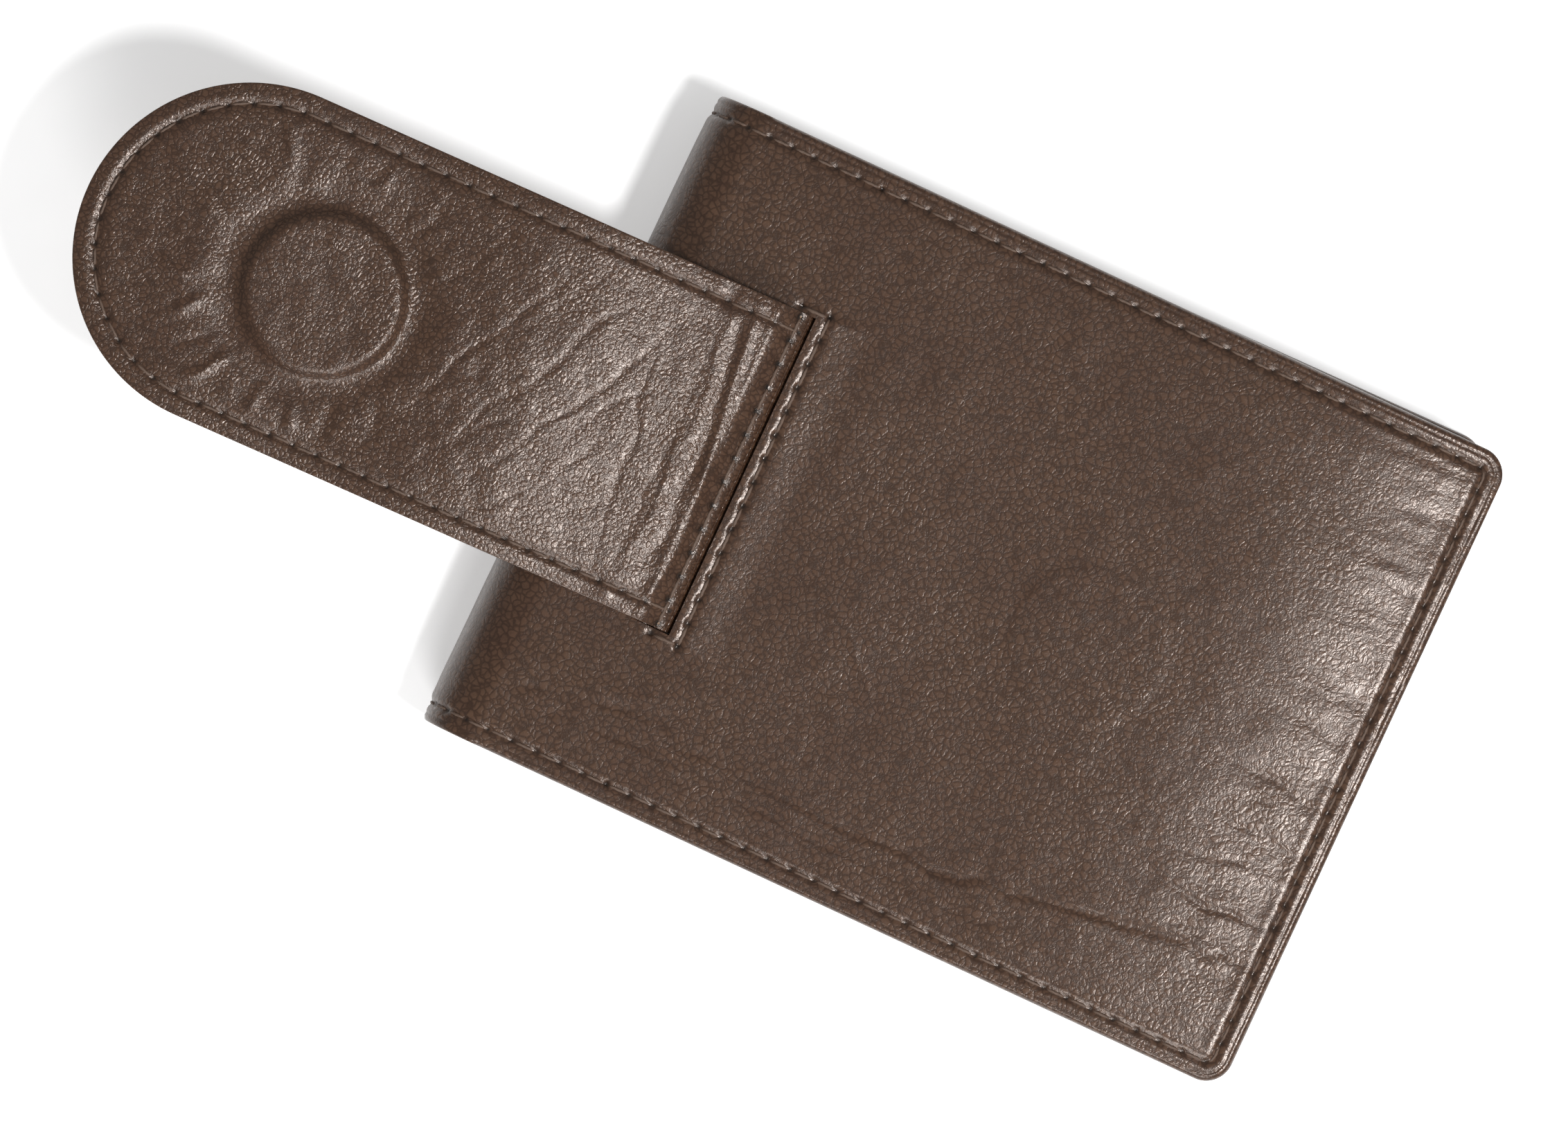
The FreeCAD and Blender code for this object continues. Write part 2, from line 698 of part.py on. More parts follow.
def slit_seams():
    # One row along the slit's lip, and one across the strap's root.
    half = fit("root_half")
    lip = fit("lip_x") + size("lip_seam")
    lip_z = fit("closed_height") - thread_depth()
    root = fit("slit_far") - size("root_seam")
    root_z = fit("closed_height") + size("root_clearance") + size("root_top") - thread_depth()
    threads = []
    for x, z in ((lip, lip_z), (root, root_z)):
        threads += stitch_row(FreeCAD.Vector(x, -half, z), FreeCAD.Vector(x, half, z))
    return threads


tier_names = ("rear", "middle", "front")
last_tier = len(tier_names) - 1

make_cover("lower_cover", "Fits.lower_open", lower_place, False)
make_board("lower_board", "Fits.lower_open", lower_place, False)
make_inner_panel("lower_inner_panel", "Fits.lower_open", lower_place)
for tier, name in enumerate(tier_names[:last_tier]):
    make_pocket(f"lower_card_pocket_{name}", tier, "Fits.lower_open", 1, lower_place)
make_pocket("id_window_frame", last_tier, "Fits.lower_open", 1, lower_place, window=True)
make_film("id_window_film", last_tier, "Fits.lower_open", 1, lower_place)
keep_stitches("lower_edge_stitching", leaf_seam(fit("lower_open")), lower_place)
keep_stitches("lower_pocket_stitching", pocket_seam("Fits.lower_open", 1), lower_place)

lining_radius = "Fits.fold_radius - Sizes.cover_leather - Sizes.lining_clearance"
for step, name in enumerate(("lower", "upper")):
    make_spine_strip(f"spine_cover_{name}", "Fits.fold_radius", "Sizes.cover_leather", step)
    make_spine_strip(f"spine_lining_{name}", lining_radius, "Sizes.panel_leather", step)

make_cover("upper_cover", "Fits.upper_open", upper_place, True)
make_board("upper_board", "Fits.upper_open", upper_place, True)
make_disc(
    "base_magnet",
    "Fits.base_magnet_x",
    "Sizes.cover_leather",
    "Sizes.base_magnet_height",
    upper_place,
)
make_disc(
    "magnet_patch",
    "Fits.base_magnet_x",
    "Sizes.cover_leather + Sizes.base_magnet_height",
    "Fits.patch_height",
    upper_place,
)
make_inner_panel("upper_inner_panel", "Fits.upper_open", upper_place)
for tier, name in enumerate(tier_names):
    make_pocket(f"upper_card_pocket_{name}", tier, "Fits.upper_open", -1, upper_place)
keep_stitches("upper_edge_stitching", leaf_seam(fit("upper_open")), upper_place)
keep_stitches("upper_pocket_stitching", pocket_seam("Fits.upper_open", -1), upper_place)
make_strap_root()
keep_stitches("slit_stitching", slit_seams(), lower_place)

make_strap_face()
make_strap_core()
make_strap_back()
make_disc(
    "strap_magnet",
    "-Sizes.magnet_reach",
    "Fits.core_base",
    "Sizes.strap_magnet_height",
    strap_place,
)
keep_stitches("strap_stitching", strap_seam(), strap_place)

doc.recompute()
for item in doc.Objects:
    if {"Invalid", "Error"} & set(item.State):
        raise ValueError(f"{item.Label} is {item.State}")
for piece in parts:
    if piece.Shape.isNull() or not piece.Shape.isValid():
        raise ValueError(f"{piece.Label} has no valid shape")

# The joints' axes and ranges follow from the same sizes.
leather_middle = fit("fold_radius") - size("cover_leather") / 2
for joint in range(3):
    turn = math.radians((joint + 1 / 2) * size("spine_step"))
    x = fit("fold_start") - leather_middle * math.sin(turn)
    z = fit("fold_radius") - leather_middle * math.cos(turn)
    print(f"fold axis {joint}: x {x:.4f}, z {z:.4f}")
rise = fit("bend_z") - fit("closed_height") + size("strap_over") - fit("bump_height")
reach = size("magnet_reach") + fit("magnet_hole") + size("bump_wall")
shut = 180 - size("strap_lift") + math.degrees(math.asin((rise - size("strap_seat")) / reach))
print(f"strap axis: x {fit('bend_x'):.4f}, z {fit('bend_z'):.4f}, shuts at {shut:.2f} degrees")
print(f"closed height {fit('closed_height'):.3f}, base magnet x {fit('base_magnet_x'):.3f}")

os.makedirs("parts", exist_ok=True)
for piece in parts:
    piece.Shape.exportStep(os.path.join("parts", f"{piece.Label}.step"))
print(f"{len(parts)} parts written")
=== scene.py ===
import json
import math

import bmesh
import bpy
import numpy as np
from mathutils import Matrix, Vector


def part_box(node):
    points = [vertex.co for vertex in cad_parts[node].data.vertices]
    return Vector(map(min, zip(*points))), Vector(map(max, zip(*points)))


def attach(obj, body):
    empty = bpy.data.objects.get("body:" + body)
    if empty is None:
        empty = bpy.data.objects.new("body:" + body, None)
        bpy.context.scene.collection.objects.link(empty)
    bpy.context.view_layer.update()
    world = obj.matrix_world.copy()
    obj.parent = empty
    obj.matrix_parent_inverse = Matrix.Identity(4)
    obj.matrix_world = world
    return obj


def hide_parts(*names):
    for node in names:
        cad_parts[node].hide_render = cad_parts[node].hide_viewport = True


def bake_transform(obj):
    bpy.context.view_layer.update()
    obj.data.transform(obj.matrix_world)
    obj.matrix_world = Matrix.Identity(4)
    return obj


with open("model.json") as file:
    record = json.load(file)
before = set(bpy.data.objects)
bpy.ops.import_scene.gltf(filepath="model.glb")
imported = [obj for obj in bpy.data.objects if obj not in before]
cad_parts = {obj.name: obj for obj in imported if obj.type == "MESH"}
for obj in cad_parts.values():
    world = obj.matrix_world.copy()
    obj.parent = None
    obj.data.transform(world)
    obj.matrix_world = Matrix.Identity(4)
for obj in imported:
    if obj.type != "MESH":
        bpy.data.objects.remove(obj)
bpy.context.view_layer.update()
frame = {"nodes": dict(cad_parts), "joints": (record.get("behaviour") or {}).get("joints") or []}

mm = 0.001  # everything is worked out in millimetres, and turned to metres when a mesh is made
hinges = {j["name"]: [c / mm for c in j["pos_m"]] for j in frame["joints"]}


def nodeBox(node):
    low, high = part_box(node)
    return [c / mm for c in low], [c / mm for c in high]


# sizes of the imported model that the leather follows
closedHeight = nodeBox("upper_cover")[1][2]
foldRadius = closedHeight / 2
leatherThickness = nodeBox("lower_board")[0][2]
foldStart = hinges["fold_open_middle"][0] + foldRadius - leatherThickness / 2
halfTurn = math.pi * foldRadius
upperOpen = nodeBox("upper_cover")[1][0]
lowerOpen = nodeBox("lower_cover")[1][0]
halfHeight = nodeBox("upper_cover")[1][1]
lowerEnd = foldStart - halfTurn - (lowerOpen - foldStart)
strapAxis = hinges["strap_fold"]
strapTip = nodeBox("strap_face")[0][0] + 0.8
slitAt = nodeBox("slit_stitching")[1][0] - 1.7


def smooth(low, high, x):
    # 0 below low, 1 above high, with a soft step between
    t = np.clip((x - low) / (high - low), 0, 1)
    return t * t * (3 - 2 * t)


def hump(x, centre, width):
    return np.exp(-(((x - centre) / width) ** 2))


def latticeValue(ix, iy, seed):
    # one repeatable number from -1 to 1 for each lattice point
    n = (ix * 374761393 + iy * 668265263 + seed * 974711) & 0xFFFFFFFF
    n = ((n ^ (n >> 13)) * 1274126177) & 0xFFFFFFFF
    return ((n ^ (n >> 16)) & 0xFFFF) / 32767.5 - 1


def softNoise(x, y, scale, seed):
    x, y = np.asarray(x, float) / scale, np.asarray(y, float) / scale
    ix, iy = np.floor(x).astype(np.int64), np.floor(y).astype(np.int64)
    fx, fy = x - ix, y - iy
    fx, fy = fx * fx * (3 - 2 * fx), fy * fy * (3 - 2 * fy)
    low = latticeValue(ix, iy, seed) * (1 - fx) + latticeValue(ix + 1, iy, seed) * fx
    high = latticeValue(ix, iy + 1, seed) * (1 - fx) + latticeValue(ix + 1, iy + 1, seed) * fx
    return low * (1 - fy) + high * fy


def furrow(x, y, path, width, depth, wander, seed):
    # how far the leather sinks along a line of points; a depth below 0 raises a ridge
    x = x + wander * softNoise(x, y, 4.5, seed)
    y = y + wander * softNoise(x, y, 3.5, seed + 9)
    points = np.array(path, float)
    steps = np.diff(points, axis=0)
    lengths = np.hypot(steps[:, 0], steps[:, 1])
    before = np.concatenate([[0], np.cumsum(lengths)[:-1]])
    nearest, along = np.full(np.shape(x), 1e9), np.zeros(np.shape(x))
    for start, step, length, done in zip(points, steps, lengths, before):
        t = np.clip(((x - start[0]) * step[0] + (y - start[1]) * step[1]) / length**2, 0, 1)
        away = np.hypot(x - start[0] - t * step[0], y - start[1] - t * step[1])
        nearer = away < nearest
        nearest = np.where(nearer, away, nearest)
        along = np.where(nearer, (done + t * length) / lengths.sum(), along)
    fade = np.sqrt(np.clip(np.sin(np.pi * np.clip(along, 0.02, 0.98)), 0, 1))
    varied = 0.75 + 0.35 * softNoise(x, y, 6, seed + 20)
    return -depth * varied * fade * np.exp(-((nearest / width) ** 2))


def furrows(x, y, lines):
    sunk = 0
    for number, (path, width, depth) in enumerate(lines):
        sunk = sunk + furrow(x, y, path, width, depth, 0.7, 11 * number + 5)
    return sunk


def gridLine(low, high, lowRoll, highRoll, coarse, stops=()):
    # places along one side of a sheet: close together at its rolled edges and at each stop
    fine = 0.14
    first = (low + lowRoll, fine if lowRoll else coarse)
    last = (high - highRoll, fine if highRoll else coarse)
    marks = [first, *stops, last]
    line = []
    for (a, fineA), (b, fineB) in zip(marks, marks[1:]):
        run = [a]
        while run[-1] < b:
            at = run[-1]
            run.append(at + min(coarse, fineA + 0.14 * (at - a), fineB + 0.14 * (b - at)))
        run = a + (np.array(run) - a) * (b - a) / (run[-1] - a)
        line += list(run[:-1])
    line.append(marks[-1][0])
    turn = 1 - np.cos(np.linspace(0, math.pi / 2, 8))
    if lowRoll:
        line = list(low + lowRoll * turn[:-1]) + line
    if highRoll:
        line = line + list(high - highRoll * turn[:-1][::-1])
    return np.array(line)


def meshFrom(name, points, faces, flat, kinds=None, marks=None):
    mesh = bpy.data.meshes.new(name)
    mesh.from_pydata((np.asarray(points) * mm).tolist(), [], np.asarray(faces).tolist())
    # where each point lies on the leather before it is bent: grain follows this
    mesh.attributes.new("leatherPlace", "FLOAT_VECTOR", "POINT").data.foreach_set(
        "vector", np.asarray(flat, np.float32).ravel()
    )
    # painted shade at the needle holes: how dark each point is drawn
    if marks is not None:
        holeShade = mesh.attributes.new("holeShade", "FLOAT", "POINT").data
        holeShade.foreach_set("value", np.asarray(marks, np.float32).ravel())
    if kinds is not None:
        mesh.polygons.foreach_set("material_index", np.asarray(kinds, np.int32))
    piece = bpy.data.objects.new(name, mesh)
    bpy.context.scene.collection.objects.link(piece)
    return piece


def closeMesh(piece, weld=2e-4, fillEnds=0):
    work = bmesh.new()
    work.from_mesh(piece.data)
    bmesh.ops.remove_doubles(work, verts=work.verts, dist=weld * mm)
    bmesh.ops.delete(work, geom=[v for v in work.verts if not v.link_faces], context="VERTS")
    if fillEnds:
        bmesh.ops.holes_fill(work, edges=work.edges, sides=fillEnds)
    bmesh.ops.recalc_face_normals(work, faces=work.faces)
    for face in work.faces:
        face.smooth = True
    work.to_mesh(piece.data)
    work.free()
    piece.data.set_sharp_from_angle(angle=math.radians(50))


def makeSheet(name, place, sLine, yLine, outer, inner, corners=(0, 0), finished=(True, True), roll=0.85,
              rollDepth=None, hole=None, marks=None):
    # A closed sheet of leather with real thickness. outer and inner give its two faces' heights;
    # its finished edges are rolled round, or where rollDepth is set, cut with the corner just eased.
    s, y = np.meshgrid(sLine, yLine, indexing="ij")
    toEnd = np.full(s.shape, 1e3)
    if finished[0]:
        toEnd = np.minimum(toEnd, s - sLine[0])
    if finished[1]:
        toEnd = np.minimum(toEnd, sLine[-1] - s)
    toSide = np.minimum(y - yLine[0], yLine[-1] - y)
    edge = np.minimum(toEnd, toSide)
    kept = np.ones((len(sLine) - 1, len(yLine) - 1), bool)
    if hole:
        middleS, middleY = (sLine[1:] + sLine[:-1]) / 2, (yLine[1:] + yLine[:-1]) / 2
        cutS = (middleS > hole[0]) & (middleS < hole[1])
        cutY = (middleY > hole[2]) & (middleY < hole[3])
        kept &= ~(cutS[:, None] & cutY[None, :])
        outside = np.maximum(np.maximum(hole[0] - s, s - hole[1]), np.maximum(hole[2] - y, y - hole[3]))
        edge = np.minimum(edge, np.maximum(outside, 0))
    for end, sign, radius in ((sLine[0], -1, corners[0]), (sLine[-1], 1, corners[1])):
        for side, turn in ((yLine[0], -1), (yLine[-1], 1)):
            if radius:
                a, b = sign * (s - end) / radius + 1, turn * (y - side) / radius + 1
                inside = (a > 0) & (b > 0)
                share = np.maximum(a, b) / np.maximum(np.hypot(a, b), 1e-9)
                s = np.where(inside, end + sign * radius * (a * share - 1), s)
                y = np.where(inside, side + turn * radius * (b * share - 1), y)
    high, low = outer(s, y, edge), inner(s, y, edge)
    ease = 1 - np.sqrt(1 - np.clip(1 - edge / roll, 0, 1) ** 2)
    ease = ease * ((high - low) / 2 if rollDepth is None else rollDepth)
    high, low = high - ease, low + ease
    upper, lower = np.stack(place(s, y, high), -1), np.stack(place(s, y, low), -1)
    count = s.size
    number = np.arange(count).reshape(s.shape)
    quads = np.stack([number[:-1, :-1], number[1:, :-1], number[1:, 1:], number[:-1, 1:]], -1)[kept]
    grown = np.pad(kept, 1)
    alongY = grown[:-1, 1:-1] != grown[1:, 1:-1]
    alongS = grown[1:-1, :-1] != grown[1:-1, 1:]
    borders = [(number[:, :-1][alongY], number[:, 1:][alongY]),
               (number[:-1, :][alongS], number[1:, :][alongS])]
    rims = np.concatenate([np.stack([a, b, b + count, a + count], -1) for a, b in borders])
    faces = np.concatenate([quads, quads[:, ::-1] + count, rims])
    kinds = np.concatenate([np.zeros(len(quads) * 2), np.ones(len(rims))])
    flat = np.concatenate([np.stack([s, y, high], -1).reshape(-1, 3),
                           np.stack([s, y, low], -1).reshape(-1, 3)])
    points = np.concatenate([upper.reshape(-1, 3), lower.reshape(-1, 3)])
    if marks is not None:
        marks = np.concatenate([marks(s, y).ravel(), np.zeros(count)])
    piece = meshFrom(name, points, faces, flat, kinds, marks)
    closeMesh(piece)
    return piece


def seamStitches(path, pitch):
    # splits a line of points into stitches of one pitch, as pairs of distances, and a point finder
    points = np.array(path, float)
    lengths = np.hypot(*np.diff(points, axis=0).T)
    travelled = np.concatenate([[0], np.cumsum(lengths)])
    count = max(1, round(travelled[-1] / pitch))
    step = travelled[-1] / count

    def at(distance):
        return np.interp(distance, travelled, points[:, 0]), np.interp(distance, travelled, points[:, 1])

    holes = np.stack(at(np.arange(count + 1) * step), -1)
    return at, [(n * step, (n + 1) * step) for n in range(count)], holes


def roundedPath(points, radius):
    # the same line with each inner corner turned on a small arc
    path = [np.array(points[0], float)]
    for before, corner, after in zip(points, points[1:], points[2:]):
        before, corner, after = np.array(before, float), np.array(corner, float), np.array(after, float)
        a = corner + (before - corner) / np.linalg.norm(before - corner) * radius
        b = corner + (after - corner) / np.linalg.norm(after - corner) * radius
        for t in np.linspace(0, 1, 7):
            path.append((1 - t) ** 2 * a + 2 * t * (1 - t) * corner + t**2 * b)
    path.append(np.array(points[-1], float))
    return path


def makeStitches(name, place, seams, height, look, within=(-1e3, 1e3)):
    # each stitch is a short run of twisted thread that dips into the leather at both ends
    around, along = 9, 11
    phi = np.linspace(0, 2 * math.pi, around, endpoint=False)
    t = np.linspace(0, 1, along)
    points, faces, flat = [], [], []
    for seamNumber, path in enumerate(seams):
        at, spans, _ = seamStitches(path, look["pitch"])
        for number, (start, end) in enumerate(spans):
            gap = look["gap"] * (end - start)
            s, y = at(start + gap / 2 + (end - start - gap) * t)
            if not within[0] < s[along // 2] <= within[1]:
                continue
            wobble = 0.05 * math.sin(2.3 * number + seamNumber)
            dip = np.abs(2 * t - 1) ** 5
            line = np.stack(place(s, y, height(s, y) + look["proud"] - look["dip"] * dip), -1)
            over = np.stack(place(s, y, height(s, y) + look["proud"] - look["dip"] * dip + 0.1), -1)
            tangent = np.gradient(line, axis=0)
            tangent /= np.linalg.norm(tangent, axis=1)[:, None]
            side = np.cross(tangent, over - line)
            side /= np.linalg.norm(side, axis=1)[:, None]
            normal = np.cross(side, tangent)
            line = line + side * wobble
            first = len(points)
            for k in range(along):
                ply = look["radius"] * (0.8 + 0.2 * math.sin(math.pi * t[k]))
                ply = ply * (1 + 0.16 * np.cos(2 * phi + look["twist"] * 2 * math.pi * t[k]))
                across = (ply * np.cos(phi))[:, None] * side[k]
                ring = line[k] + across + (ply * np.sin(phi))[:, None] * normal[k]
                points += ring.tolist()
                travelled = seamNumber * 500 + number * 3.1 + 2.4 * t[k]
                flat += [[travelled, math.cos(p), math.sin(p)] for p in phi]
            for k in range(along - 1):
                for m in range(around):
                    a, b = first + k * around + m, first + k * around + (m + 1) % around
                    faces.append([a, b, b + around, a + around])
    piece = meshFrom(name, points, faces, flat)
    closeMesh(piece, fillEnds=around)
    return piece


def holesOf(seams, pitch):
    return np.concatenate([seamStitches(path, pitch)[2] for path in seams])


def pricks(s, y, holes, width):
    # 1 at each needle hole, falling to 0 around it
    found = np.zeros(np.shape(s))
    for hs, hy in holes:
        near = (np.abs(s - hs) < 3 * width) & (np.abs(y - hy) < 3 * width)
        reached = np.exp(-((s[near] - hs) ** 2 + (y[near] - hy) ** 2) / width**2)
        found[near] = np.maximum(found[near], reached)
    return found


# materials: lengths on the leather are in millimetres, so a pattern's scale is 1 / its size in mm

def colour(code):
    # sRGB hex to linear
    parts = [int(code[i : i + 2], 16) / 255 for i in (1, 3, 5)]
    return (*[c / 12.92 if c <= 0.04045 else ((c + 0.055) / 1.055) ** 2.4 for c in parts], 1.0)


def addNode(material, kind, settings=(), links=(), stops=()):
    # one node: its settings, then each input as a value or another node's output
    node = material.node_tree.nodes.new(kind)
    for key, value in dict(settings).items():
        setattr(node, key, value)
    for key, value in dict(links).items():
        if isinstance(value, bpy.types.NodeSocket):
            material.node_tree.links.new(value, node.inputs[key])
        else:
            node.inputs[key].default_value = value
    for number, (place, shade) in enumerate(stops):
        ramp = node.color_ramp.elements
        stop = ramp[number] if number < 2 else ramp.new(place)
        stop.position, stop.color = place, shade
    return node


def newMaterial(name):
    material = bpy.data.materials.new(name)
    material.use_nodes = True
    material.node_tree.nodes.clear()
    return material


def leather(name, look):
    # Full-grain hide, dyed, then waxed and polished: a satin skin of small swollen cells. Handling polishes
    # the tops of the cells; the creases between them stay dull, and are drawn darker as painted shade.
    m = newMaterial(name)
    place = addNode(m, "ShaderNodeAttribute", {"attribute_name": "leatherPlace"}).outputs["Vector"]
    drift = addNode(
        m, "ShaderNodeTexNoise", {}, {"Vector": place, "Scale": 0.5 / look["grain"], "Detail": 2.0}
    ).outputs["Color"]
    bent = addNode(
        m, "ShaderNodeVectorMath", {"operation": "MULTIPLY_ADD"},
        {0: drift, 1: (look["grain"] * 1.2,) * 3, 2: place},
    ).outputs[0]
    cells = addNode(
        m, "ShaderNodeTexVoronoi", {"feature": "DISTANCE_TO_EDGE"},
        {"Vector": bent, "Scale": 1 / look["grain"]},
    ).outputs["Distance"]
    fine = addNode(
        m, "ShaderNodeTexVoronoi", {"feature": "DISTANCE_TO_EDGE"},
        {"Vector": bent, "Scale": 2.6 / look["grain"]},
    ).outputs["Distance"]
    pores = addNode(
        m, "ShaderNodeTexNoise", {},
        {"Vector": place, "Scale": 1.6 / look["grain"], "Detail": 1.5, "Roughness": 0.5},
    ).outputs[0]
    cloud = addNode(
        m, "ShaderNodeTexNoise", {},
        {"Vector": place, "Scale": 1 / look["cloud"], "Detail": 5.0, "Roughness": 0.6},
    ).outputs[0]
    flecks = addNode(
        m, "ShaderNodeTexNoise", {},
        {"Vector": place, "Scale": 1 / look["fleck"], "Detail": 3.0, "Roughness": 0.7},
    ).outputs[0]
    cellTops = addNode(
        m, "ShaderNodeMapRange", {"interpolation_type": "SMOOTHSTEP"}, {0: cells, 1: 0.0, 2: 0.34}
    ).outputs[0]
    fineTops = addNode(
        m, "ShaderNodeMapRange", {"interpolation_type": "SMOOTHSTEP"}, {0: fine, 1: 0.0, 2: 0.36}
    ).outputs[0]
    patchy = addNode(
        m, "ShaderNodeMapRange", {}, {0: cloud, 1: 0.35, 2: 0.65, 3: 0.35, 4: 1.0}
    ).outputs[0]
    cellRelief = addNode(
        m, "ShaderNodeMath", {"operation": "MULTIPLY"}, {0: cellTops, 1: patchy}
    ).outputs[0]
    dyed = addNode(
        m, "ShaderNodeValToRGB", {}, {0: cloud},
        [(0.35, colour(look["dark"])), (0.65, colour(look["light"]))],
    ).outputs[0]
    # painted shade: the creases between the cells are drawn darker
    crease = addNode(
        m, "ShaderNodeValToRGB", {}, {0: cellTops},
        [(0.0, colour(look["creaseShadeTint"])), (0.6, (1, 1, 1, 1))],
    ).outputs[0]
    fleck = addNode(
        m, "ShaderNodeValToRGB", {}, {0: flecks},
        [(0.36, colour(look["fleckTint"])), (0.6, (1, 1, 1, 1))],
    ).outputs[0]
    for shade in (crease, fleck):
        dyed = addNode(
            m, "ShaderNodeMix", {"data_type": "RGBA", "blend_type": "MULTIPLY"}, {0: 1.0, 6: dyed, 7: shade}
        ).outputs[2]
    # painted shade: the leather is drawn near-black inside each needle hole
    holeShade = addNode(m, "ShaderNodeAttribute", {"attribute_name": "holeShade"}).outputs["Fac"]
    dyed = addNode(
        m, "ShaderNodeMix", {"data_type": "RGBA", "blend_type": "MIX"},
        {0: holeShade, 6: dyed, 7: colour(look["holeShadeTint"])},
    ).outputs[2]
    rough = addNode(
        m, "ShaderNodeMapRange", {},
        {0: flecks, 1: 0.3, 2: 0.7, 3: look["rough"] + 0.07, 4: look["rough"] - 0.03},
    ).outputs[0]
    relief = pores
    for tops, part in ((cellRelief, look["cellShare"]), (fineTops, look["fineShare"])):
        relief = addNode(
            m, "ShaderNodeMath", {"operation": "MULTIPLY_ADD"}, {0: tops, 1: part, 2: relief}
        ).outputs[0]
    bump = addNode(
        m, "ShaderNodeBump", {}, {"Strength": 1.0, "Distance": look["relief"] * mm, "Height": relief}
    ).outputs[0]
    skin = addNode(
        m, "ShaderNodeBsdfPrincipled", {},
        {"Base Color": dyed, "Roughness": rough, "Normal": bump, "IOR": 1.5,
         "Specular IOR Level": look["gloss"], "Specular Tint": colour(look["waxTint"])},
    )
    addNode(m, "ShaderNodeOutputMaterial", {}, {0: skin.outputs[0]})
    return m


def fibrous(name, look):
    # Dull fibres: the cut side of leather, waxed polyester thread, felt and board.
    m = newMaterial(name)
    place = addNode(m, "ShaderNodeAttribute", {"attribute_name": "leatherPlace"}).outputs["Vector"]
    if look["onModel"]:  # a piece of the model has no leatherPlace, so its own coordinates do
        place = addNode(m, "ShaderNodeTexCoord").outputs["Object"]
        place = addNode(
            m, "ShaderNodeVectorMath", {"operation": "SCALE"}, {0: place, "Scale": 1 / mm}
        ).outputs[0]
    fibres = addNode(
        m, "ShaderNodeTexNoise", {},
        {"Vector": place, "Scale": 1 / look["fibre"], "Detail": 4.0, "Roughness": 0.65},
    ).outputs[0]
    tint = addNode(
        m, "ShaderNodeValToRGB", {}, {0: fibres},
        [(0.3, colour(look["dark"])), (0.7, colour(look["light"]))],
    ).outputs[0]
    bump = addNode(
        m, "ShaderNodeBump", {}, {"Strength": 1.0, "Distance": look["relief"] * mm, "Height": fibres}
    ).outputs[0]
    body = addNode(
        m, "ShaderNodeBsdfPrincipled", {}, {"Base Color": tint, "Roughness": look["rough"], "Normal": bump}
    )
    addNode(m, "ShaderNodeOutputMaterial", {}, {0: body.outputs[0]})
    return m


# All sizes in millimetres. Cowhide grain is 0.3 to 0.5 across, which is too fine to show at arm's length,
# so the cells are drawn up to twice as coarse.
hideLook = {
    "dark": "#432f23",
    "light": "#483427",
    "creaseShadeTint": "#bdb6b1",  # painted shade between the cells
    "fleckTint": "#dedad8",
    "holeShadeTint": "#0d0907",  # painted shade inside a needle hole
    "grain": 0.85,  # across one cell
    "relief": 0.014,  # height of the grain
    "cellShare": 1.5,  # how much the cells count in the relief
    "fineShare": 0.5,  # and the finer cells on them
    "cloud": 16.66667,  # across one patch of lighter or darker dye
    "fleck": 1.25,
    "rough": 0.27,
    "gloss": 0.5,
    "waxTint": "#fff2ea",
}
# waxed and handled: a soft sheen on the flat leather, bright where it curves away
coverHide = leather("dyed full-grain cowhide", hideLook)
# boarded, so that the grain stands up in pebbles and the sheen breaks into points
strapLeather = leather("dyed full-grain cowhide, pebbled", {
    **hideLook, "grain": 0.68, "relief": 0.025, "cellShare": 1.6, "fineShare": 0.4,
})
# thin and hardly waxed, nearly black
liningHide = leather("black dyed calf lining", {
    **hideLook, "dark": "#161413", "light": "#1e1b1a", "creaseShadeTint": "#8a8a8a", "grain": 0.8,
    "relief": 0.02, "cellShare": 1.2, "fineShare": 0.4, "rough": 0.45, "waxTint": "#ffffff",
})
# fibres 0.02 thick, drawn as tufts of 0.3: matt, paler than the skin
cutEdge = fibrous("cut and dyed leather edge", {
    "dark": "#3b2c24", "light": "#6b5446", "fibre": 0.3, "relief": 0.05, "rough": 0.75, "onModel": False,
})
# twisted and waxed: a dull shine along the ply
coverThread = fibrous("waxed polyester thread, brown", {
    "dark": "#3c2d23", "light": "#5e4a3d", "fibre": 0.4, "relief": 0.03, "rough": 0.68, "onModel": False,
})
liningThread = fibrous("waxed polyester thread, black", {
    "dark": "#141211", "light": "#2b2725", "fibre": 0.4, "relief": 0.03, "rough": 0.5, "onModel": False,
})
# leather fibre pressed with latex: mottled and matt
stiffener = fibrous("bonded leather board", {
    "dark": "#5a4634", "light": "#7c6450", "fibre": 0.5, "relief": 0.04, "rough": 0.85, "onModel": True,
})
# no shine at all
feltPatch = fibrous("wool felt", {
    "dark": "#17171a", "light": "#2a2a2e", "fibre": 0.3, "relief": 0.08, "rough": 0.95, "onModel": True,
})
print("materials made")


# the cover: one long hide that goes over the upper leaf, round the fold and under the lower leaf

coverLook = {
    "corner": 3.5,  # corner radius of both leaves
    "roll": 0.85,  # how far in the rolled edge reaches
    "seamInset": 2.4,
    "hem": 3.4,  # width of the leather turned in under the edge
    "askew": 0.01,  # how much the lower leaf leans out of line for each mm of its length
    "slant": 0.011,  # how much the fold leans for each mm across
    "dome": 0.45,  # how far the upper cover swells
    "droop": (0.85, 0.72, 0.22),  # its drop at the open edge: at the low side, and what is added further up
    "droopReach": 24,  # how far in the droop begins
    "creaseDepth": 1.7,
    "magnetMark": (16.5, 9.2, 10.6, 0.05),  # rise over the base magnet: x, inner and outer radius, height
    "hole": 0.34,  # how wide a needle hole pulls the leather in
    "slitHole": 0.42,
    "grid": 0.4,
}
stitchLook = {"pitch": 3.15, "gap": 0.24, "radius": 0.19, "proud": 0.02, "dip": 0.45, "twist": 2.5}
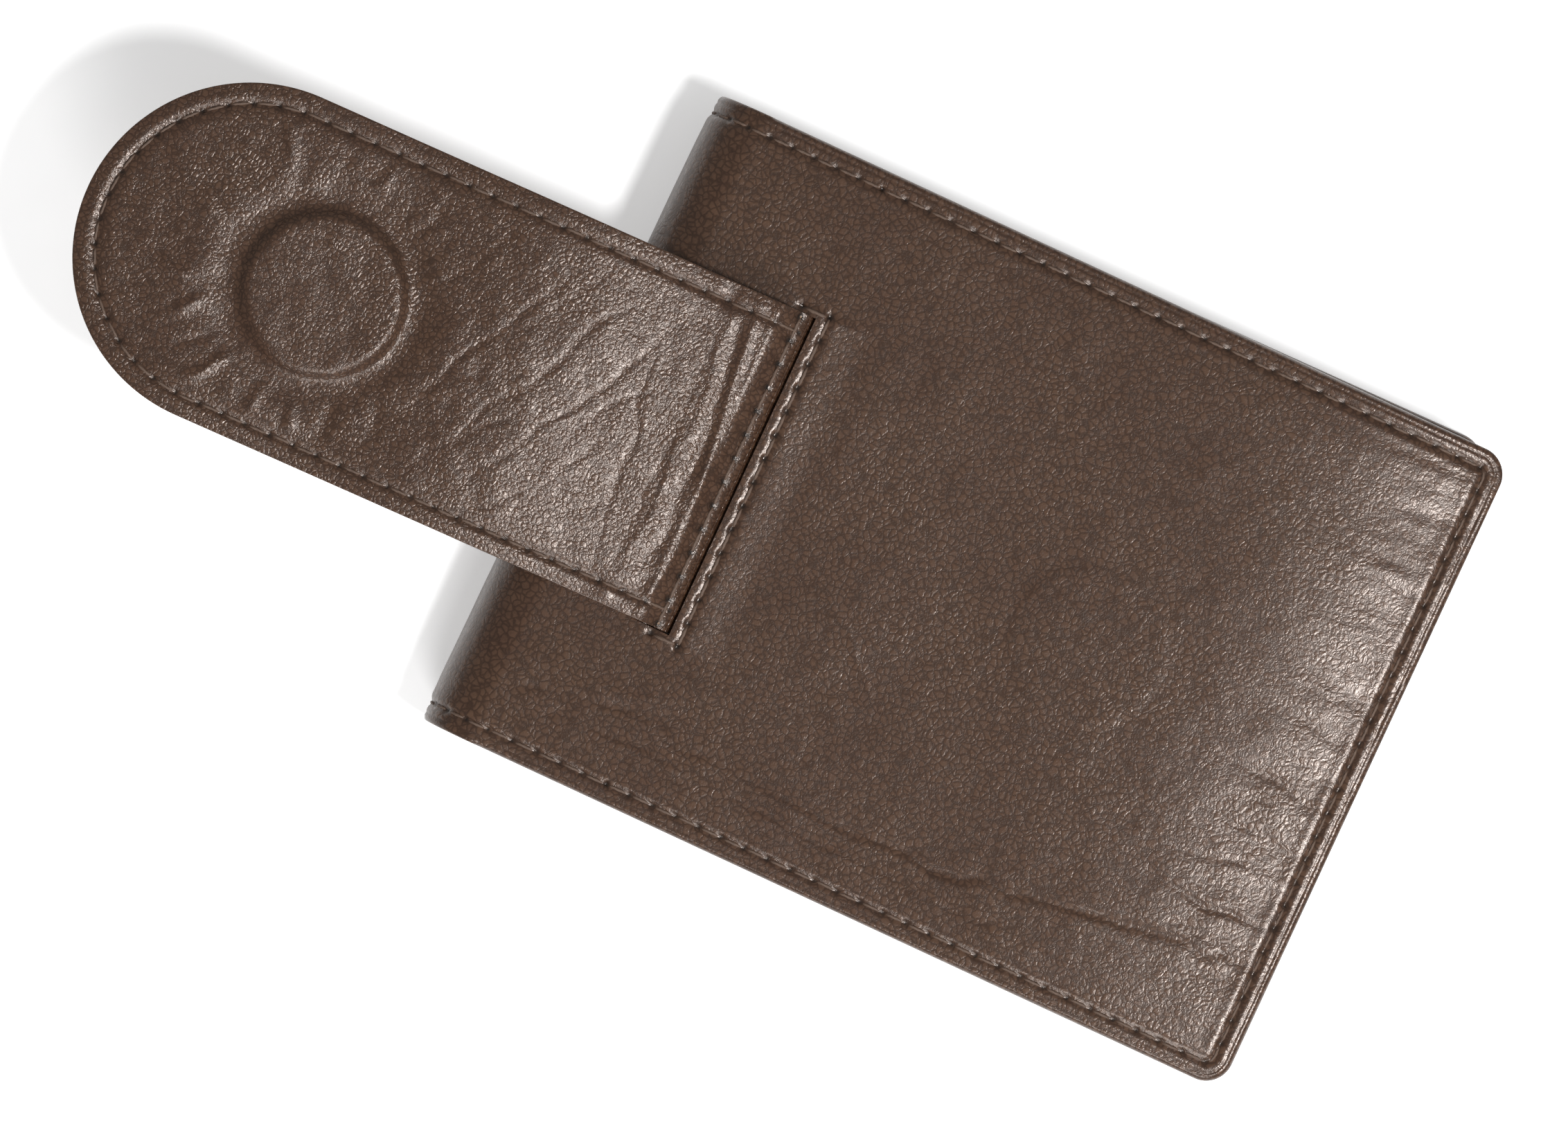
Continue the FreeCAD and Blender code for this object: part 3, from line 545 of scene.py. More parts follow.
heavyStitch = {**stitchLook, "radius": 0.24, "gap": 0.2, "dip": 0.55}


def coverPlace(s, y, h):
    # s runs from the lower open edge (most negative) round the fold to the upper open edge
    turn = np.clip((foldStart - s) / foldRadius, 0, math.pi)
    past = np.clip(foldStart - halfTurn - s, 0, None)
    over = np.clip(s - foldStart, 0, None)
    r = foldRadius + h
    lean = coverLook["slant"] * y * (1 - smooth(0, 12, over)) * (1 - smooth(0, 12, past))
    x = foldStart - r * np.sin(turn) + over + past + lean
    z = foldRadius + r * np.cos(turn)
    return x, y + coverLook["askew"] * np.clip(past - 7, 0, None), z


split = [foldStart - halfTurn / 3, foldStart - halfTurn * 2 / 3]  # where the three bending parts meet
inset = coverLook["seamInset"]
seamY = halfHeight - inset
slitLook = {"low": -20.6, "high": 22.6, "lipSeam": -29.6, "rootSeam": -32.9, "lip": 0.28, "drop": 1.2}
upperSeam = roundedPath(
    [(foldStart - halfTurn / 2, seamY), (upperOpen - inset, seamY), (upperOpen - inset, -seamY),
     (foldStart - halfTurn / 2, -seamY)], 1.4)
lowerSeam = roundedPath(
    [(foldStart - halfTurn / 2, seamY), (lowerEnd + inset, seamY), (lowerEnd + inset, -seamY),
     (foldStart - halfTurn / 2, -seamY)], 1.4)
lipSeam = [(slitLook["lipSeam"], slitLook["high"] + 0.9), (slitLook["lipSeam"], slitLook["low"] - 0.9)]
slitEnds = [[(slitLook["rootSeam"] - 0.4, y), (slitLook["lipSeam"], y)]
            for y in (slitLook["high"] + 0.7, slitLook["low"] - 0.7)]
coverHoles = holesOf([upperSeam, lowerSeam], stitchLook["pitch"])
slitHoles = holesOf([lipSeam, *slitEnds], stitchLook["pitch"])

# long soft creases near the lower edge, and a fan of short ones where the cover is pulled at its open edge:
# each is its line of points, its width and its depth
coverCreases = [
    ([(-47.5, -31.5), (-41, -32.4), (-31.6, -31.3), (-22, -32.5), (-10, -32.4), (0, -33.4), (15, -32.4),
      (25, -31), (39, -29), (51, -27.3)], 0.5, 0.2),
    ([(-41, -35.7), (-31.6, -35.2), (-24, -34.3), (-13, -35.7), (0, -36.2), (13, -36.2),
      (27, -36.5)], 0.45, 0.17),
    ([(-47.5, -33.8), (-38, -33.4)], 0.5, 0.12),
    ([(-45, -29.6), (-37, -30), (-28, -29.2)], 0.9, -0.1),
    ([(-36, -37), (-22, -36.6), (-8, -37.6), (8, -37.4)], 0.6, 0.08),
    ([(35, -22.2), (43, -23.4), (51.5, -22.6)], 0.38, 0.11),
    ([(38, -17.6), (45, -16.8), (51.5, -17.4)], 0.36, 0.08),
    ([(36, -11.6), (44, -12), (51.5, -12.6)], 0.34, 0.08),
    ([(40, -8.6), (46, -8.9), (51.5, -9.8)], 0.3, 0.05),
    ([(37, -4.6), (45, -5.6), (51.5, -6.6)], 0.34, 0.07),
    ([(41, -1), (51.5, -2.4)], 0.3, 0.05),
    ([(38, 3.6), (46, 2.8), (51.5, 2)], 0.34, 0.05),
    ([(42, 7.6), (51.5, 6.4)], 0.3, 0.04),
    ([(40, -26.4), (51.5, -28.4)], 0.38, 0.1),
    ([(42, 13.5), (51.5, 12)], 0.32, 0.035),
    ([(43, 23), (51.5, 22)], 0.32, 0.03),
    ([(-15, -8), (-9, -13), (-4, -18)], 0.25, -0.07),
]


def edgeProfile(edge):
    # from the edge inwards: rolled bead, pressed line, flat band, then the valley the stitches pull in
    bead = -0.09 * hump(edge, 0.98, 0.16)
    valley = -0.24 * hump(edge, inset, 0.5) + 0.06 * hump(edge, 3.4, 0.8)
    return bead + valley


def upperFace(s, y, edge):
    fromOpen, fromSide = upperOpen - s, halfHeight - np.abs(y)
    pulled = fromOpen + 1.6 * softNoise(s * 0.3, y, 8, 77) + 0.5 * softNoise(s * 0.3, y, 2.6, 78)
    lowSide, middle, highSide = coverLook["droop"]
    droop = lowSide + middle * smooth(-38, -5, y) + highSide * smooth(5, 28, y)
    droop = droop * np.clip(1 - pulled / coverLook["droopReach"], 0, 1) ** 2
    bow = coverLook["dome"] * smooth(-5, 30, s) - droop
    lowest = -1.12 - 0.4 * (1 - smooth(2.4, 3.4, edge))
    height = np.maximum(bow - 0.32 * (1 - smooth(0, 7, fromSide)), lowest) + edgeProfile(edge)
    inner = smooth(2.6, 5, edge)
    height += inner * (0.05 * softNoise(s, y, 11, 1) + 0.025 * softNoise(s, y, 4.2, 2)
                       + 0.012 * softNoise(s, y, 1.6, 3))
    height += coverLook["creaseDepth"] * smooth(2.2, 4, edge) * furrows(s, y, coverCreases)
    fan = smooth(36, 47, s) * (1 - smooth(50.5, 52.2, s))
    height += fan * inner * (0.035 * softNoise(s / 7, y, 1.7, 31) + 0.02 * softNoise(s / 4, y, 0.9, 32))
    markX, markInner, markOuter, markHeight = coverLook["magnetMark"]
    height += markHeight * (1 - smooth(markInner, markOuter, np.hypot(s - markX, y)))
    # the slit: a raised lip, and behind it the leather drops away under the strap's root
    low, high = slitLook["low"], slitLook["high"]
    within = smooth(low - 1.6, low - 0.4, y) * (1 - smooth(high + 0.4, high + 1.6, y))
    lip = smooth(-33.5, slitAt, s) * (1 - smooth(-30.2, -23.5, s))
    height += within * lip * slitLook["lip"]
    sunk = (s < slitAt - 0.02) & (y > low) & (y < high)
    height = np.where(sunk, height - slitLook["drop"] * smooth(-36, -34.5, s), height)
    height -= 0.16 * hump(s, slitLook["lipSeam"], 0.4) * within
    height -= 0.3 * pricks(s, y, coverHoles, coverLook["hole"])
    return height - 0.4 * pricks(s, y, slitHoles, coverLook["slitHole"])


def lowerFace(s, y, edge):
    height = -0.02 + edgeProfile(edge) - 0.35 * (1 - smooth(0, 5, edge))
    inner = smooth(2.6, 5, edge)
    height -= inner * (0.03 + 0.03 * softNoise(s, y, 9, 41) + 0.015 * softNoise(s, y, 3, 42))
    return np.minimum(height, 0) - 0.3 * pricks(s, y, coverHoles, coverLook["hole"])


def foldFace(s, y, edge):
    share = smooth(split[1], split[0], s)
    return share * upperFace(s, y, edge) + (1 - share) * lowerFace(s, y, edge)


def coverInside(s, y, edge):
    # the hem makes the edge of each leaf thicker; the fold is one thickness of leather
    foldEnd = foldStart - halfTurn
    onLeaf = smooth(foldStart, foldStart + 0.8, s) + 1 - smooth(foldEnd - 0.8, foldEnd, s)
    return -leatherThickness - onLeaf * (1 - smooth(coverLook["hem"] - 0.2, coverLook["hem"] + 0.1, edge))


# painted shade at the cover's needle holes
def holeShadeMarks(s, y):
    return np.clip(1.1 * pricks(s, y, coverHoles, 0.3) + 1.2 * pricks(s, y, slitHoles, 0.36), 0, 1)


def bendAcross(piece):
    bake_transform(piece)


roll = coverLook["roll"]
yLine = gridLine(-halfHeight, halfHeight, roll, roll, coverLook["grid"],
                 [(-seamY, 0.16), (slitLook["low"], 0.1), (slitLook["high"], 0.1), (seamY, 0.16)])
upperLine = gridLine(split[0], upperOpen, 0, roll, coverLook["grid"],
                     [(slitAt - 0.04, 0.04), (slitAt, 0.04), (upperOpen - inset, 0.16)])
middleLine = gridLine(split[1], split[0], 0, 0, coverLook["grid"])
lowerLine = gridLine(lowerEnd, split[1], roll, 0, 2 * coverLook["grid"], [(lowerEnd + inset, 0.16)])

upperSkin = makeSheet("upper_cover_hide", coverPlace, upperLine, yLine, upperFace, coverInside,
                      (0, coverLook["corner"]), (False, True), roll, marks=holeShadeMarks)
middleSkin = makeSheet("spine_cover_hide", coverPlace, middleLine, yLine, foldFace, coverInside,
                       (0, 0), (False, False), roll, marks=holeShadeMarks)
lowerSkin = makeSheet("lower_cover_hide", coverPlace, lowerLine, yLine, lowerFace, coverInside,
                      (coverLook["corner"], 0), (True, False), roll, marks=holeShadeMarks)
for skin, part, nodes in ((upperSkin, "upper", ["upper_cover"]), (lowerSkin, "lower", ["lower_cover"]),
                          (middleSkin, "middle", ["spine_cover_lower", "spine_cover_upper"])):
    skin.data.materials.append(coverHide)
    skin.data.materials.append(coverHide)
    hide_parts(*nodes)
    bendAcross(skin)
print("cover made")


# stitching round the cover: one seam for each leaf, carried onto the fold
def coverHeight(s, y):
    edge = np.full(np.shape(s), inset)
    onTop = smooth(split[1], split[0], s)
    face = onTop * upperFace(s, y, edge) + (1 - onTop) * lowerFace(s, y, edge)
    return face + 0.2 * pricks(s, y, coverHoles, coverLook["hole"])


def addThread(name, place, seams, height, look, within=(-1e3, 1e3), lining=False):
    piece = makeStitches(name, place, seams, height, look, within)
    piece.data.materials.append(liningThread if lining else coverThread)
    return piece


seams = [upperSeam, lowerSeam]
upperThread = addThread("upper_cover_stitches", coverPlace, seams, coverHeight, stitchLook, (split[0], 1e3))
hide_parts("upper_edge_stitching")
bendAcross(upperThread)
onFold = (split[1], split[0])
bendAcross(addThread("spine_cover_stitches", coverPlace, seams, coverHeight, stitchLook, onFold))
onLower = (-1e3, split[1])
lowerThread = addThread("lower_cover_stitches", coverPlace, seams, coverHeight, stitchLook, onLower)
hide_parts("lower_edge_stitching")
bendAcross(lowerThread)


def lipHeight(s, y):
    farIn = np.full(np.shape(s), 20.0)
    return upperFace(s, y, farIn) + 0.25 * pricks(s, y, slitHoles, coverLook["slitHole"])


lipThread = addThread("slit_lip_stitches", coverPlace, [lipSeam, *slitEnds], lipHeight, heavyStitch)
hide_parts("slit_stitching")
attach(lipThread, "upper_leaf")
print("cover stitched")


# the strap: two hides with a stiff core, sewn round the edge, a magnet between them near the end

strapLook = {
    "width": 43.0,
    "lift": 5.0,  # degrees, as the model has it
    "thickness": 2.6,
    "skinShare": 0.385,  # each hide's share of the thickness
    "seamInset": 2.5,
    "lean": 0.017,  # how far the strap lies out of square
    "middle": 0.7,  # its middle line at x = -56
    "magnet": (-87.3, -0.4),
    "magnetRadius": 9.2,  # the leather lies flat on the magnet this far out
    "magnetWall": 1.7,  # then falls over this width
    "magnetRise": 1.0,
    "spring": 1.3,  # how far the leather bows up between the slit and the magnet
    "tipDroop": 1.3,  # and sinks at its round end
    "creaseDepth": 1.2,
    "rootCreaseDepth": 1.15,
    "hole": 0.34,
    "rootHole": 0.58,  # the seam beside the slit is sewn with a thicker needle
    "grid": 0.36,
    "bend": (-33.4, -39.6),  # the stretch that gives when the strap is folded over
}
lift = math.radians(strapLook["lift"])
strapHalf = strapLook["width"] / 2
rootProfile = [(-30.3, 13.6), (-31.2, 14.1), (-31.9, 14.9), (-32.5, 15.4), (-33.1, 15.75), (-33.8, 16.2),
               (-34.6, 16.9), (-35.4, 17.3), (-36.6, 17.4), (-38.2, 17.68)]


def strapMiddle(x):
    return strapLook["middle"] + (x + 56) * strapLook["lean"]


def faceLine(x):
    # height of the strap's upper face along its length, before its surface detail
    plane = strapAxis[2] + (strapAxis[0] - x) * math.tan(lift) - 0.1 / math.cos(lift)
    near = np.interp(x, [p[0] for p in rootProfile[::-1]], [p[1] for p in rootProfile[::-1]])
    share = smooth(-36.5, -38.2, x)
    # the leather springs up from the slit, then levels out before the magnet and droops to its end
    along = np.clip((-38 - x) / 48, 0, 1)
    spring = strapLook["spring"] * np.sin(math.pi * along) ** 2
    spring = spring - strapLook["tipDroop"] * (np.clip(-88 - x, 0, None) / 32) ** 2
    return near * (1 - share) + (plane + spring) * share


# soft wrinkles: across the strap where it leaves the slit, leaning ones along it, puckers round the magnet
rootCreases = [
    ([(-37.6, 19), (-36.9, 13), (-35.7, 6), (-35.1, -3), (-35.0, -12), (-35.3, -18)], 0.42, -0.3),
    ([(-39.0, 20), (-38.4, 12), (-37.3, 3), (-36.9, -6), (-37.2, -14), (-37.8, -18)], 0.9, 0.34),
    ([(-40.2, 19), (-39.8, 8), (-39.4, -4), (-39.8, -16)], 0.4, -0.12),
    ([(-41.3, 14), (-41.0, 4), (-41.2, -8), (-41.6, -17)], 0.35, 0.08),
    ([(-34.3, 15), (-34.0, 2), (-34.2, -13)], 0.4, 0.12),
]
strapCreases = [
    ([(-62, -15), (-57, -5), (-51, 5), (-46, 15)], 0.35, 0.09),
    ([(-69, -16), (-64, -7), (-58, 4), (-52, 15)], 0.39, 0.10),
    ([(-73, -11), (-69, -1), (-64, 8), (-60, 16)], 0.39, 0.10),
    ([(-56, -16), (-52, -8), (-48, -1)], 0.31, 0.08),
    ([(-76, 5), (-72, 11), (-69, 17)], 0.39, 0.08),
    ([(-50, 17), (-47, 8), (-45, -2), (-44, -14)], 0.35, 0.10),
    ([(-66, 3), (-61, 10), (-56, 18)], 0.31, 0.08),
    ([(-60, -17), (-55, -12), (-50, -11)], 0.31, 0.08),
    ([(-66, -12), (-60, -3), (-57, 6)], 0.31, 0.07),
    ([(-53, -5), (-49, 3), (-44, 7)], 0.27, 0.07),
    ([(-58, 9), (-53, 12), (-47, 11)], 0.27, 0.06),
    ([(-50, -14), (-46, -9), (-43, -7)], 0.27, 0.06),
    ([(-72, -6), (-66, -2), (-61, -2)], 0.31, 0.06),
]
puckers = [
    ([(-99.5, 16.5), (-97, 12.5)], 0.8, -0.3), ([(-107, 4.5), (-103.4, 2.6)], 1.0, -0.28),
    ([(-107.5, -5), (-103, -5.4)], 0.9, -0.26), ([(-103, -9.5), (-100, -7)], 0.7, -0.2),
    ([(-98, -16.5), (-94.6, -12.2)], 0.8, -0.3), ([(-90, -17.5), (-88.5, -13.6)], 0.6, -0.2),
    ([(-84, -18), (-84.6, -14)], 0.6, -0.25), ([(-85, 17.5), (-86.6, 13.5)], 0.8, -0.22),
    ([(-78, 16), (-80.4, 11)], 0.9, 0.16), ([(-105, 11.5), (-100.5, 8.4)], 0.9, 0.2),
    ([(-91, 17.5), (-91.4, 13)], 0.7, 0.16), ([(-101, -14), (-97.5, -10)], 0.8, 0.2),
    ([(-80, -17.5), (-81, -12)], 0.8, 0.18), ([(-74, -14), (-77, -8)], 1.0, 0.14),
]
strapSeamEnd = slitAt - 1.2


def strapOutline(distance):
    # the seam's line round the strap, that far in from its edge
    half = strapHalf - distance
    tip = strapTip + distance + 0.2
    turns = np.linspace(math.pi / 2, -math.pi / 2, 60)
    bow = [(tip + half - half * math.cos(a), half * math.sin(a)) for a in turns]
    return [(strapSeamEnd, half), *bow, (strapSeamEnd, -half)]


strapSeam = strapOutline(strapLook["seamInset"])
rootSeam = [(slitLook["rootSeam"], 20.9), (slitLook["rootSeam"], -20.9)]
strapHoles = holesOf([strapSeam], stitchLook["pitch"])
rootHoles = holesOf([rootSeam], stitchLook["pitch"])


def strapTop(x, v, edge):
    # detail of the face that shows when the strap lies open; v is the place across from its middle line
    y = v + strapMiddle(x)
    inner = smooth(2.6, 4.6, edge)
    height = -0.24 * hump(edge, strapLook["seamInset"], 0.5) - 0.12 * (1 - smooth(0, 2.2, edge))
    height += 0.12 * inner + 0.03 * hump(edge, 1.1, 0.5)
    height += strapLook["rootCreaseDepth"] * furrows(x, y, rootCreases) * smooth(1.5, 4, edge)
    height += strapLook["creaseDepth"] * furrows(x, y, strapCreases) * inner
    height += furrows(x, y, puckers) * smooth(1.8, 3.4, edge)
    far = np.hypot(x - strapLook["magnet"][0], y - strapLook["magnet"][1])
    foot = strapLook["magnetRadius"] + strapLook["magnetWall"]
    height += strapLook["magnetRise"] * (1 - smooth(strapLook["magnetRadius"], foot, far))
    height -= 0.26 * hump(far, foot + 1.2, 2.0) * inner
    around = np.arctan2(y - strapLook["magnet"][1], x - strapLook["magnet"][0])
    height += 0.1 * softNoise(around * 6, far / 6, 1, 61) * hump(far, foot + 4, 3.0) * inner
    height += inner * (0.09 * softNoise(x, y, 9, 51) + 0.03 * softNoise(x, y, 1.5, 53))
    height += inner * 0.06 * softNoise(x + y * 0.6, (y - x * 0.6) / 2.2, 3.0, 52)
    cross = smooth(-44, -41, x) * (1 - smooth(-35.5, -34, x)) * hump(np.abs(v), strapHalf - 2.2, 1.8)
    height += 0.3 * cross * softNoise(x, v / 9, 1.15, 57)
    height -= 0.3 * hump(x, slitLook["rootSeam"], 0.45)
    height -= 0.28 * pricks(x, v, strapHoles, strapLook["hole"])
    return height - 0.7 * pricks(x, v, rootHoles, strapLook["rootHole"])


def strapUnder(x, v, edge):
    y = v + strapMiddle(x)
    height = -0.25 * hump(edge, strapLook["seamInset"], 0.55) - 0.1 * (1 - smooth(0, 2.2, edge))
    height += smooth(2.6, 4.6, edge) * (0.05 * softNoise(x, y, 8, 71) - 0.05)
    return (height - 0.25 * pricks(x, v, strapHoles, strapLook["hole"])) * smooth(-37, -40, x)


def strapPlace(x, v, depth):
    # depth 0 is the upper face and 1 the lower; anything above 0 or below 1 stands proud
    top = faceLine(x)
    flatPart = smooth(-34.6, -37.6, x)
    down = strapLook["thickness"]
    underX = x - down * math.sin(lift) * flatPart
    under = top - down * math.cos(lift)
    underZ = (closedHeight + 0.04) * (1 - flatPart) + under * flatPart
    underZ = np.where(x > -31.6, top - 1.2, underZ)
    px, pz = x + (underX - x) * depth, top + (underZ - top) * depth
    return px, v + strapMiddle(x), pz


# painted shade at the strap's needle holes
def strapHoleShadeMarks(x, v):
    return np.clip(1.1 * pricks(x, v, strapHoles, 0.3) + 1.3 * pricks(x, v, rootHoles, 0.52), 0, 1)


def strapHide(name, outerShare, innerShare, outer, inner, rim, setIn):
    # one layer of the strap, between two shares of its thickness
    seam, down = strapLook["seamInset"], strapLook["thickness"]
    line = gridLine(strapTip + setIn, -30.4, 0.2, 0, strapLook["grid"],
                    [(strapTip + seam, 0.16), (-41, 0.3), (slitLook["rootSeam"], 0.16)])
    across = gridLine(-strapHalf + setIn, strapHalf - setIn, 0.2, 0.2, strapLook["grid"],
                      [(-strapHalf + seam, 0.16), (strapHalf - seam, 0.16)])
    return makeSheet(
        name, lambda s, y, h: strapPlace(s, y, -h / down), line, across,
        lambda s, y, e: outer(s, y, e) - outerShare * down,
        lambda s, y, e: inner(s, y, e) - innerShare * down,
        (strapHalf - setIn, 0), (True, False), 0.3, rim, marks=strapHoleShadeMarks)


def flatSide(x, v, edge):
    return 0 * x


def follow(x, v, edge):
    # between the layers the faces follow the outer one a little
    return 0.85 * strapTop(x, v, edge) * smooth(0.5, 2, edge)


def bendStrap(piece):
    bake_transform(piece)


def strapEdge(x, v):
    # distance to the strap's outline
    onRound = strapHalf - np.hypot(x - strapTip - strapHalf, v)
    return np.where(x > strapTip + strapHalf, strapHalf - np.abs(v), onRound)


share = strapLook["skinShare"]
faceHide = strapHide("strap_face_hide", 0, share, strapTop, follow, 0.12, 0.0)
coreLayer = strapHide("strap_core_layer", share, 1 - share, follow, flatSide, 0.04, 0.3)
backHide = strapHide("strap_back_hide", 1 - share, 1, flatSide, lambda x, v, e: -strapUnder(x, v, e),
                     0.12, 0.0)
for piece, slot, skinMaterial in (
    (faceHide, "strap_leather", strapLeather),
    (backHide, "strap_leather", strapLeather),
    (coreLayer, "stiffener_board", stiffener),
):
    piece.data.materials.append(skinMaterial)
    piece.data.materials.append(cutEdge)
    bendStrap(piece)
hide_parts("strap_face", "strap_root")
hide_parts("strap_core")
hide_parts("strap_back")


def onFace(s, v, h):
    return strapPlace(s, v, -h / strapLook["thickness"])


def onBack(s, v, h):
    return strapPlace(s, v, 1 + h / strapLook["thickness"])


def faceHeight(s, v):
    return strapTop(s, v, strapEdge(s, v)) + 0.2 * pricks(s, v, strapHoles, strapLook["hole"])


def rootHeight(s, v):
    return strapTop(s, v, strapEdge(s, v)) + 0.45 * pricks(s, v, rootHoles, strapLook["rootHole"])


def backHeight(s, v):
    return strapUnder(s, v, strapEdge(s, v)) + 0.2 * pricks(s, v, strapHoles, strapLook["hole"])


faceThread = addThread("strap_face_stitches", onFace, [strapSeam], faceHeight, stitchLook)
rootThread = addThread("strap_root_stitches", onFace, [rootSeam], rootHeight, heavyStitch)
backThread = addThread("strap_back_stitches", onBack, [strapSeam], backHeight, stitchLook, (-1e3, -37.5))
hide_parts("strap_stitching")
bendStrap(faceThread)
bendStrap(rootThread)
bendStrap(backThread)
print("strap made")


# inside: a black lining over both leaves and the fold, card pockets in steps, and a clear window

liningLook = {"panelFace": -3.0, "foldFace": -2.05, "thickness": 0.8, "grid": 0.8, "corner": 3.0}
panelInset = halfHeight - nodeBox("upper_inner_panel")[1][1]


def onLeaves(s):
    # the lining has stepped down over each board's edge by the time the board begins
    away = np.abs(s - foldStart + halfTurn / 2) - halfTurn / 2
    return smooth(-2.5, -0.1, away)


def liningFace(s, y, edge):
    face = liningLook["foldFace"] + (liningLook["panelFace"] - liningLook["foldFace"]) * onLeaves(s)
    soft = 0.05 * softNoise(s, y, 7, 81) * smooth(1, 4, edge)
    return face + soft - 0.02 + 0.15 * hump(edge, inset - panelInset, 0.5)


def liningBack(s, y, edge):
    return liningLook["foldFace"] + liningLook["thickness"] - (
        liningLook["foldFace"] - liningLook["panelFace"]) * onLeaves(s)


liningY = gridLine(-halfHeight + panelInset, halfHeight - panelInset, 0.35, 0.35, liningLook["grid"],
                   [(-seamY, 0.25), (seamY, 0.25)])
liningLow = lowerEnd + panelInset
liningHigh = upperOpen - panelInset
for name, low, high, part, nodes in (
    ("upper_inner_lining", split[0], liningHigh, "upper", ["upper_inner_panel", "spine_lining_upper"]),
    ("spine_inner_lining", split[1], split[0], "middle", ["spine_lining_upper", "spine_lining_lower"]),
    ("lower_inner_lining", liningLow, split[1], "lower", ["lower_inner_panel", "spine_lining_lower"]),
):
    ends = (part == "lower", part == "upper")
    middle = (low + high) / 2
    line = gridLine(low, high, 0.35 * ends[0], 0.35 * ends[1], liningLook["grid"], [(middle, 0.6)])
    lining = makeSheet(name, coverPlace, line, liningY, liningBack, liningFace,
                       (liningLook["corner"] * ends[0], liningLook["corner"] * ends[1]), ends, 0.35)
    lining.data.materials.append(liningHide)
    lining.data.materials.append(liningHide)
    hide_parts(*nodes)
    bendAcross(lining)
print("lining made")

pocketLook = {
    "rim": 2.2,  # width of the closed margin round three sides
    "wall": 0.6,
    "tier": 1.4,  # wall and card slot together
    "seam": 1.1,
    "crease": 1.3,  # the pressed line below each mouth
    "lap": 2.0,  # how far the window's frame covers its film
    "grid": 0.7,
}


def toSheet(leaf, x):
    # the place along the cover of an x on either leaf
    return x if leaf == "upper" else 2 * foldStart - halfTurn - x


def makePocket(name, leaf, node, tier, window=None):
    low, high = nodeBox(node)
    ends = sorted((toSheet(leaf, low[0]), toSheet(leaf, high[0])))
    back = liningLook["panelFace"] - pocketLook["tier"] * tier
    face = back - pocketLook["tier"]
    mouth = high[1]

    def toClosedSide(s, y):
        return np.minimum(np.minimum(s - ends[0], ends[1] - s), y - low[1])

    def pocketFace(s, y, edge):
        height = face + 0.1 * hump(mouth - y, pocketLook["crease"], 0.22)
        height += 0.12 * hump(toClosedSide(s, y), pocketLook["seam"], 0.4)
        return height - 0.05 - 0.06 * softNoise(s, y, 8, 90 + tier) * smooth(0, 3, edge)

    def pocketBack(s, y, edge):
        slot = smooth(pocketLook["rim"] - 0.1, pocketLook["rim"] + 0.2, toClosedSide(s, y))
        return back - 0.02 - (pocketLook["tier"] - pocketLook["wall"]) * slot

    margin = pocketLook["rim"] + 0.1
    stops = [ends[0] + margin, ends[1] - margin]
    acrossStops = [low[1] + margin]
    if window:
        stops = [stops[0], window[0], window[1], stops[1]]
        acrossStops = [acrossStops[0], window[2], window[3]]
    line = gridLine(*ends, 0.3, 0.3, pocketLook["grid"], [(p, 0.2) for p in stops])
    across = gridLine(low[1], mouth, 0.3, 0.3, pocketLook["grid"], [(p, 0.2) for p in acrossStops])
    pocket = makeSheet(name, coverPlace, line, across, pocketBack, pocketFace, (0.8, 0.8), (True, True),
                       0.3, 0.22, hole=window)
    pocket.data.materials.append(liningHide)
    pocket.data.materials.append(liningHide)
    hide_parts(node)
    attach(pocket, leaf + "_leaf")


filmLow, filmHigh = nodeBox("id_window_film")
lap = pocketLook["lap"]
windowEnds = sorted((toSheet("lower", filmLow[0] + lap), toSheet("lower", filmHigh[0] - lap)))
window = (*windowEnds, filmLow[1] + lap, filmHigh[1] - lap)
pockets = {
    "upper": ["upper_card_pocket_rear", "upper_card_pocket_middle", "upper_card_pocket_front"],
    "lower": ["lower_card_pocket_rear", "lower_card_pocket_middle", "id_window_frame"],
}
insideStitch = {**stitchLook, "radius": 0.15, "proud": 0.0, "dip": 0.3}


def insidePlace(s, y, h):
    return coverPlace(s, y, -h)


def panelHeight(s, y):
    return 0 * s - liningLook["panelFace"] - 0.1


for leaf, names in pockets.items():
    for tier, node in enumerate(names):
        makePocket(node + "_leather", leaf, node, tier, window if node == "id_window_frame" else None)
    mouths = [nodeBox(node)[1][1] for node in names]
    low, high = nodeBox(names[0])
    ends = sorted((toSheet(leaf, low[0]), toSheet(leaf, high[0])))
    a, b, bottom = ends[0] + pocketLook["seam"], ends[1] - pocketLook["seam"], low[1] + pocketLook["seam"]
    path = roundedPath([(a, mouths[0] - 0.6), (a, bottom), (b, bottom), (b, mouths[0] - 0.6)], 1.0)

    def pocketHeight(s, y, mouths=mouths):
        # the face of whichever pocket shows there, as its depth below the panel
        tiers = 1 + (y < mouths[1]) + (y < mouths[2])
        return -(liningLook["panelFace"] - pocketLook["tier"] * tiers) - 0.02

    pocketThread = addThread(leaf + "_pocket_stitches", insidePlace, [path], pocketHeight, insideStitch,
                             lining=True)
    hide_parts(leaf + "_pocket_stitching")
    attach(pocketThread, leaf + "_leaf")
    openSeam = nodeBox(leaf + "_cover")[1][0] - inset
    edgePath = roundedPath([(foldStart + 1, seamY), (openSeam, seamY), (openSeam, -seamY),
                            (foldStart + 1, -seamY)], 1.4)
    edgePath = [(toSheet(leaf, x), y) for x, y in edgePath]
    panelThread = addThread(leaf + "_lining_stitches", insidePlace, [edgePath], panelHeight, insideStitch)
    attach(panelThread, leaf + "_leaf")
print("pockets made")


# parts carried over from the model

